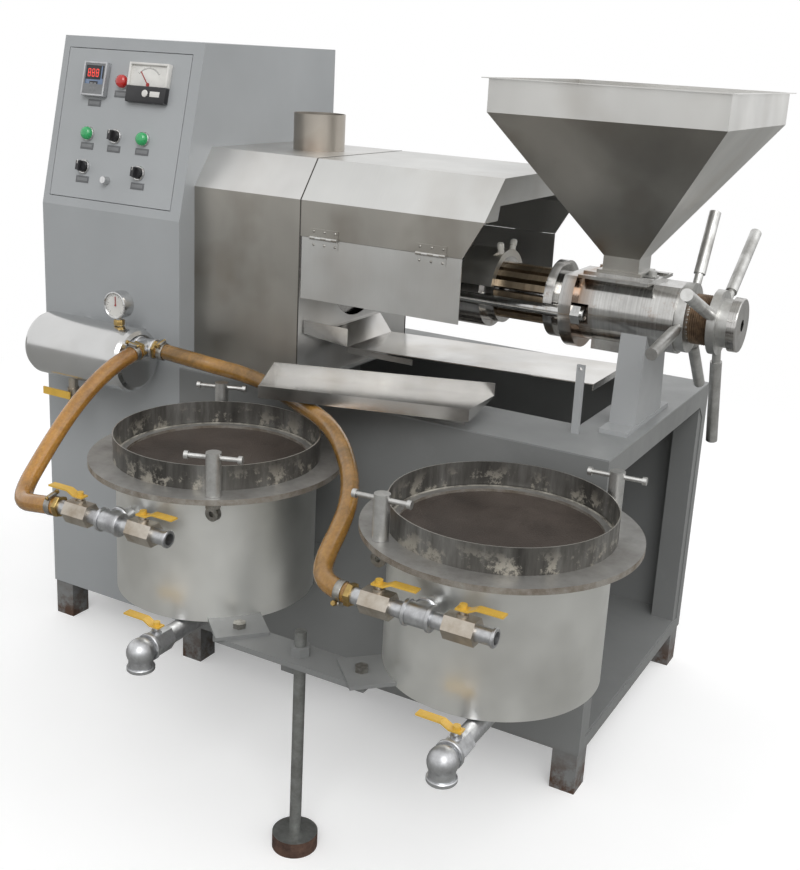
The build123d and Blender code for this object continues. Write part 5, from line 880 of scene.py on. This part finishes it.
def vacuum_gauge():
    """Dial, marks, rim and brass nipple of the vacuum gauge."""
    centre = Vector((254.5, -103.5, 800.0))
    dial = Form()
    dial.lathe(centre - Y * 9.8, -Y, [(0.0, 25.1), (0.35, 25.1)], 48)
    dial.done("gauge_dial", WHITE, "root", "meter_plastic")
    marks = Form()
    steps, start, sweep, marks_radius = 20, 225.0, 270.0, 22.6
    for i in range(steps + 1):
        way, side = dial_ways(start - sweep * i / steps, X, Z)
        long = 4.6 if i % 4 == 0 else 2.2
        corner = centre - Y * 10.05 + way * (marks_radius - long) - side * 0.4
        marks.slab(corner, way * long, side * 0.8, -Y * 0.25)
    marks.done("gauge_marks", INK, "root", "black_plastic")
    rim = Form()
    rim_profile = [(0.0, 24.6), (-1.2, 26.0), (-0.4, 28.0), (4.0, 28.6), (5.0, 28.0), (3.5, 24.9)]
    rim.hoop(centre - Y * 13.0, Y, rim_profile, 56)
    rim.done("gauge_rim", CHROME, "root", "machined")
    nipple = Form()
    nipple.bolt(centre - Z * 43.0, Z, 19.0, 12.0)
    nipple.done("gauge_nipple", BRASS, "root", "brass")


controller_case()
controller_display()
controller_keys()
ammeter_case()
ammeter_scale()
lamps()
switch_bezels()
selector_marks()
label_plates()
vacuum_gauge()


def hose_end(collars, bands, screws, mouth, way, side):
    """A hexagon where the hose leaves its fitting and a band with its screw a little further along."""
    mouth, way, side = Vector(mouth), Vector(way).normalized(), Vector(side).normalized()
    across = way.cross(side)
    collars.lathe(mouth - way * 5.0, way, [(0.0, 18.0), (1.2, 19.4), (8.8, 19.4), (10.0, 18.0)], 6)
    centre = mouth + way * 17.0
    band = [(-6.0, 15.9), (-6.0, 17.6), (-5.2, 17.9), (5.2, 17.9), (6.0, 17.6), (6.0, 15.9)]
    bands.hoop(centre, way, band, 36)
    bands.slab(centre + side * 16.4 - way * 5.5 - across * 9.0, way * 11.0, across * 18.0, side * 5.6)
    screw_line = centre + side * 19.4
    screws.lathe(screw_line - across * 12.0, across, [(0.0, 2.4), (1.0, 3.2), (24.0, 3.2), (25.0, 2.6)], 16)
    screws.bolt(screw_line + across * 12.5, across, 8.0, 5.0)


def hose_ends():
    """Brass hexagons and worm-drive bands at both ends of both hoses."""
    left, right = (hose_routes[name][1] for name in ("hose_left", "hose_right"))
    collars, bands, screws = Form(), Form(), Form()
    for mouth, way, side in (
        (left[0], (0.08, -0.98, -0.18), (0.2, -0.1, 1.0)),
        (right[0], (1.0, 0.03, -0.07), (0.0, -0.3, 1.0)),
        (left[-1], (-1.0, 0.0, -0.1), (0.0, -0.2, 1.0)),
        (right[-1], (-1.0, 0.0, 0.03), (0.0, -0.5, -1.0)),
    ):
        hose_end(collars, bands, screws, mouth, way, side)
    collars.done("hose_collars", BRASS, "root", "brass")
    bands.done("hose_bands", BOLT, "root", "galvanised")
    screws.done("hose_band_screws", BRASS, "root", "brass")


def pipe_beads():
    """Beads on the tees and the mouths of the pipework."""
    bead = [(-3.2, 17.0), (-3.2, 19.6), (-2.0, 20.8), (2.0, 20.8), (3.2, 19.6), (3.2, 17.0)]
    thin_bead = [(-2.5, 12.0), (-2.5, 14.2), (-1.5, 15.2), (1.5, 15.2), (2.5, 14.2), (2.5, 12.0)]
    wide_bead = [(-3.6, 19.5), (-3.6, 22.6), (-2.4, 23.6), (2.4, 23.6), (3.6, 22.6), (3.6, 19.5)]
    beads = Form()
    for x in TEES_X:
        for side in (-20.0, 20.0):
            beads.hoop((x + side, SUCTION_Y, SUCTION_Z), X, bead, 36)
        beads.hoop((x, SUCTION_Y + 20.0, SUCTION_Z), Y, bead, 36)
        beads.hoop((x + 122.0, SUCTION_Y, SUCTION_Z), X, thin_bead, 36)
    for side in (-20.0, 19.5):
        beads.hoop((OUTLET_X + side, OUTLET_Y, OUTLET_Z), X, bead, 36)
    for x in DRAINS_X:
        beads.hoop((x, -537.5, 317.0), Z, wide_bead, 36)
        beads.hoop((x, -517.0, 345.0), Y, wide_bead, 36)
    beads.done("pipe_beads", GALVANISED, "root", "galvanised")


def bed_crust():
    """Pale crust on the ledge round each filter bed."""
    ledge = [(0.0, 171.0), (0.0, 182.6), (5.0, 182.8), (6.5, 180.5), (4.0, 176.0), (1.6, 171.5)]
    crust = Form()
    for x in TANKS_X:
        crust.hoop((x, TANKS_Y, 602.6), Z, ledge, 96)
    crust.done("bed_crust", CRUST, "root", "stainless")


def heater():
    """Heater band over the cage with its two ceramic terminals and its lead."""
    section = [(0.0, 78.4), (0.0, 80.4), (73.5, 80.4), (73.5, 66.4), (66.0, 66.4), (66.0, 78.4)]
    band = Form()
    band.arc((884.0, SHAFT_Y, SHAFT_Z), X, section, -78.0, 78.0, 30)
    band.done("heater_band", HEATER, "root", "stainless")
    post = [(0.0, 6.4), (2.0, 6.8), (9.0, 6.0), (10.0, 7.2), (19.0, 6.8), (21.5, 5.0), (22.5, 2.0)]
    posts = Form()
    for degrees in (19.0, -19.0):
        turn = math.radians(degrees)
        out = Vector((0.0, -math.sin(turn), math.cos(turn)))
        posts.lathe(Vector((950.0, SHAFT_Y, SHAFT_Z)) + out * 80.0, out, post, 24)
    posts.done("heater_terminals", CERAMIC, "root", "meter_plastic")
    lead = Form()
    lead.tube([
        (950.0, 214.0, 957.5), (944.0, 209.0, 953.0), (934.0, 206.0, 946.0), (918.0, 203.0, 938.5),
        (898.0, 201.0, 929.0), (874.0, 200.0, 919.5), (840.0, 196.0, 912.0), (790.0, 188.0, 908.0),
        (730.0, 180.0, 914.0), (670.0, 172.0, 930.0), (608.0, 166.0, 952.0),
    ], 3.4)
    lead.done("heater_lead", SLEEVE, "root", "meter_plastic")


def hinge_rivets():
    """Rivets of the flap hinges: the upper row on the hood, the lower rows on the flaps."""
    rivets_x = (640.5, 665.0, 689.5, 874.4, 899.0, 923.0)
    hood_z, flap_z, radius, height = 982.5, 957.0, 2.7, 1.7
    sides = (("front_flap", 19.0, -Y), ("back_flap", 466.0, Y))
    rivets = Form()
    for x in rivets_x:
        for _, y, way in sides:
            rivets.dome((x, y, hood_z), way, radius, height, 4, 14)
    rivets.done("hood_rivets", BOLT, "root", "galvanised")
    for body, y, way in sides:
        studs = Form()
        for x in rivets_x:
            studs.dome((x, y, flap_z), way, radius, height, 4, 14)
        studs.done(body + "_rivets", BOLT, body, "galvanised")


def housing_joint():
    """The dark joint between the housing and the hood, along their common section."""
    section = [
        (20.5, 670.0), (20.5, 1040.0), (76.5, 1116.0), (408.5, 1116.0), (464.5, 1040.0), (464.5, 670.0),
    ]
    joint = Form()
    for (y0, z0), (y1, z1) in zip(section, section[1:]):
        run = Vector((0.0, y1 - y0, z1 - z0))
        out = run.cross(X).normalized() * -1.0
        joint.slab(Vector((606.2, y0, z0)) - out * 0.3, X * 2.6, run, out * 0.8)
    joint.done("housing_joint", DARK_GAP, "root", "stainless")


def gutter_ends():
    """Folded ends of the oil gutter and the deflector beside the pan."""
    ends = Form()
    ends.prism([(1030.5, -50.5, 713.0), (1027.5, 62.5, 713.0), (1030.5, -50.5, 691.0)], X * -1.6)
    ends.prism([(648.5, -165.5, 713.0), (624.5, -81.5, 713.0), (624.5, -81.5, 739.0)], X * 1.6)
    deflector = [(611.0, 40.0, 799.0), (645.0, 151.0, 766.0), (645.0, 151.0, 727.0), (611.0, 39.0, 771.0)]
    ends.prism(deflector, Vector((-1.4, 0.5, 0.0)))
    ends.done("gutter_ends", PAN, "root", "stainless")


def thread_ridges():
    """Ridges of the adjusting thread behind the lock ring."""
    root, crest, half_pitch = 45.1, 47.0, 2.0
    profile = [(half_pitch * i, root if i % 2 == 0 else crest) for i in range(19)]
    ridges = Form()
    ridges.lathe((1338.2, SHAFT_Y, SHAFT_Z), X, profile, 56)
    ridges.done("thread_ridges", THREAD, "adjusting_screw", "machined")


hose_ends()
pipe_beads()
bed_crust()
heater()
hinge_rivets()
housing_joint()
gutter_ends()
thread_ridges()
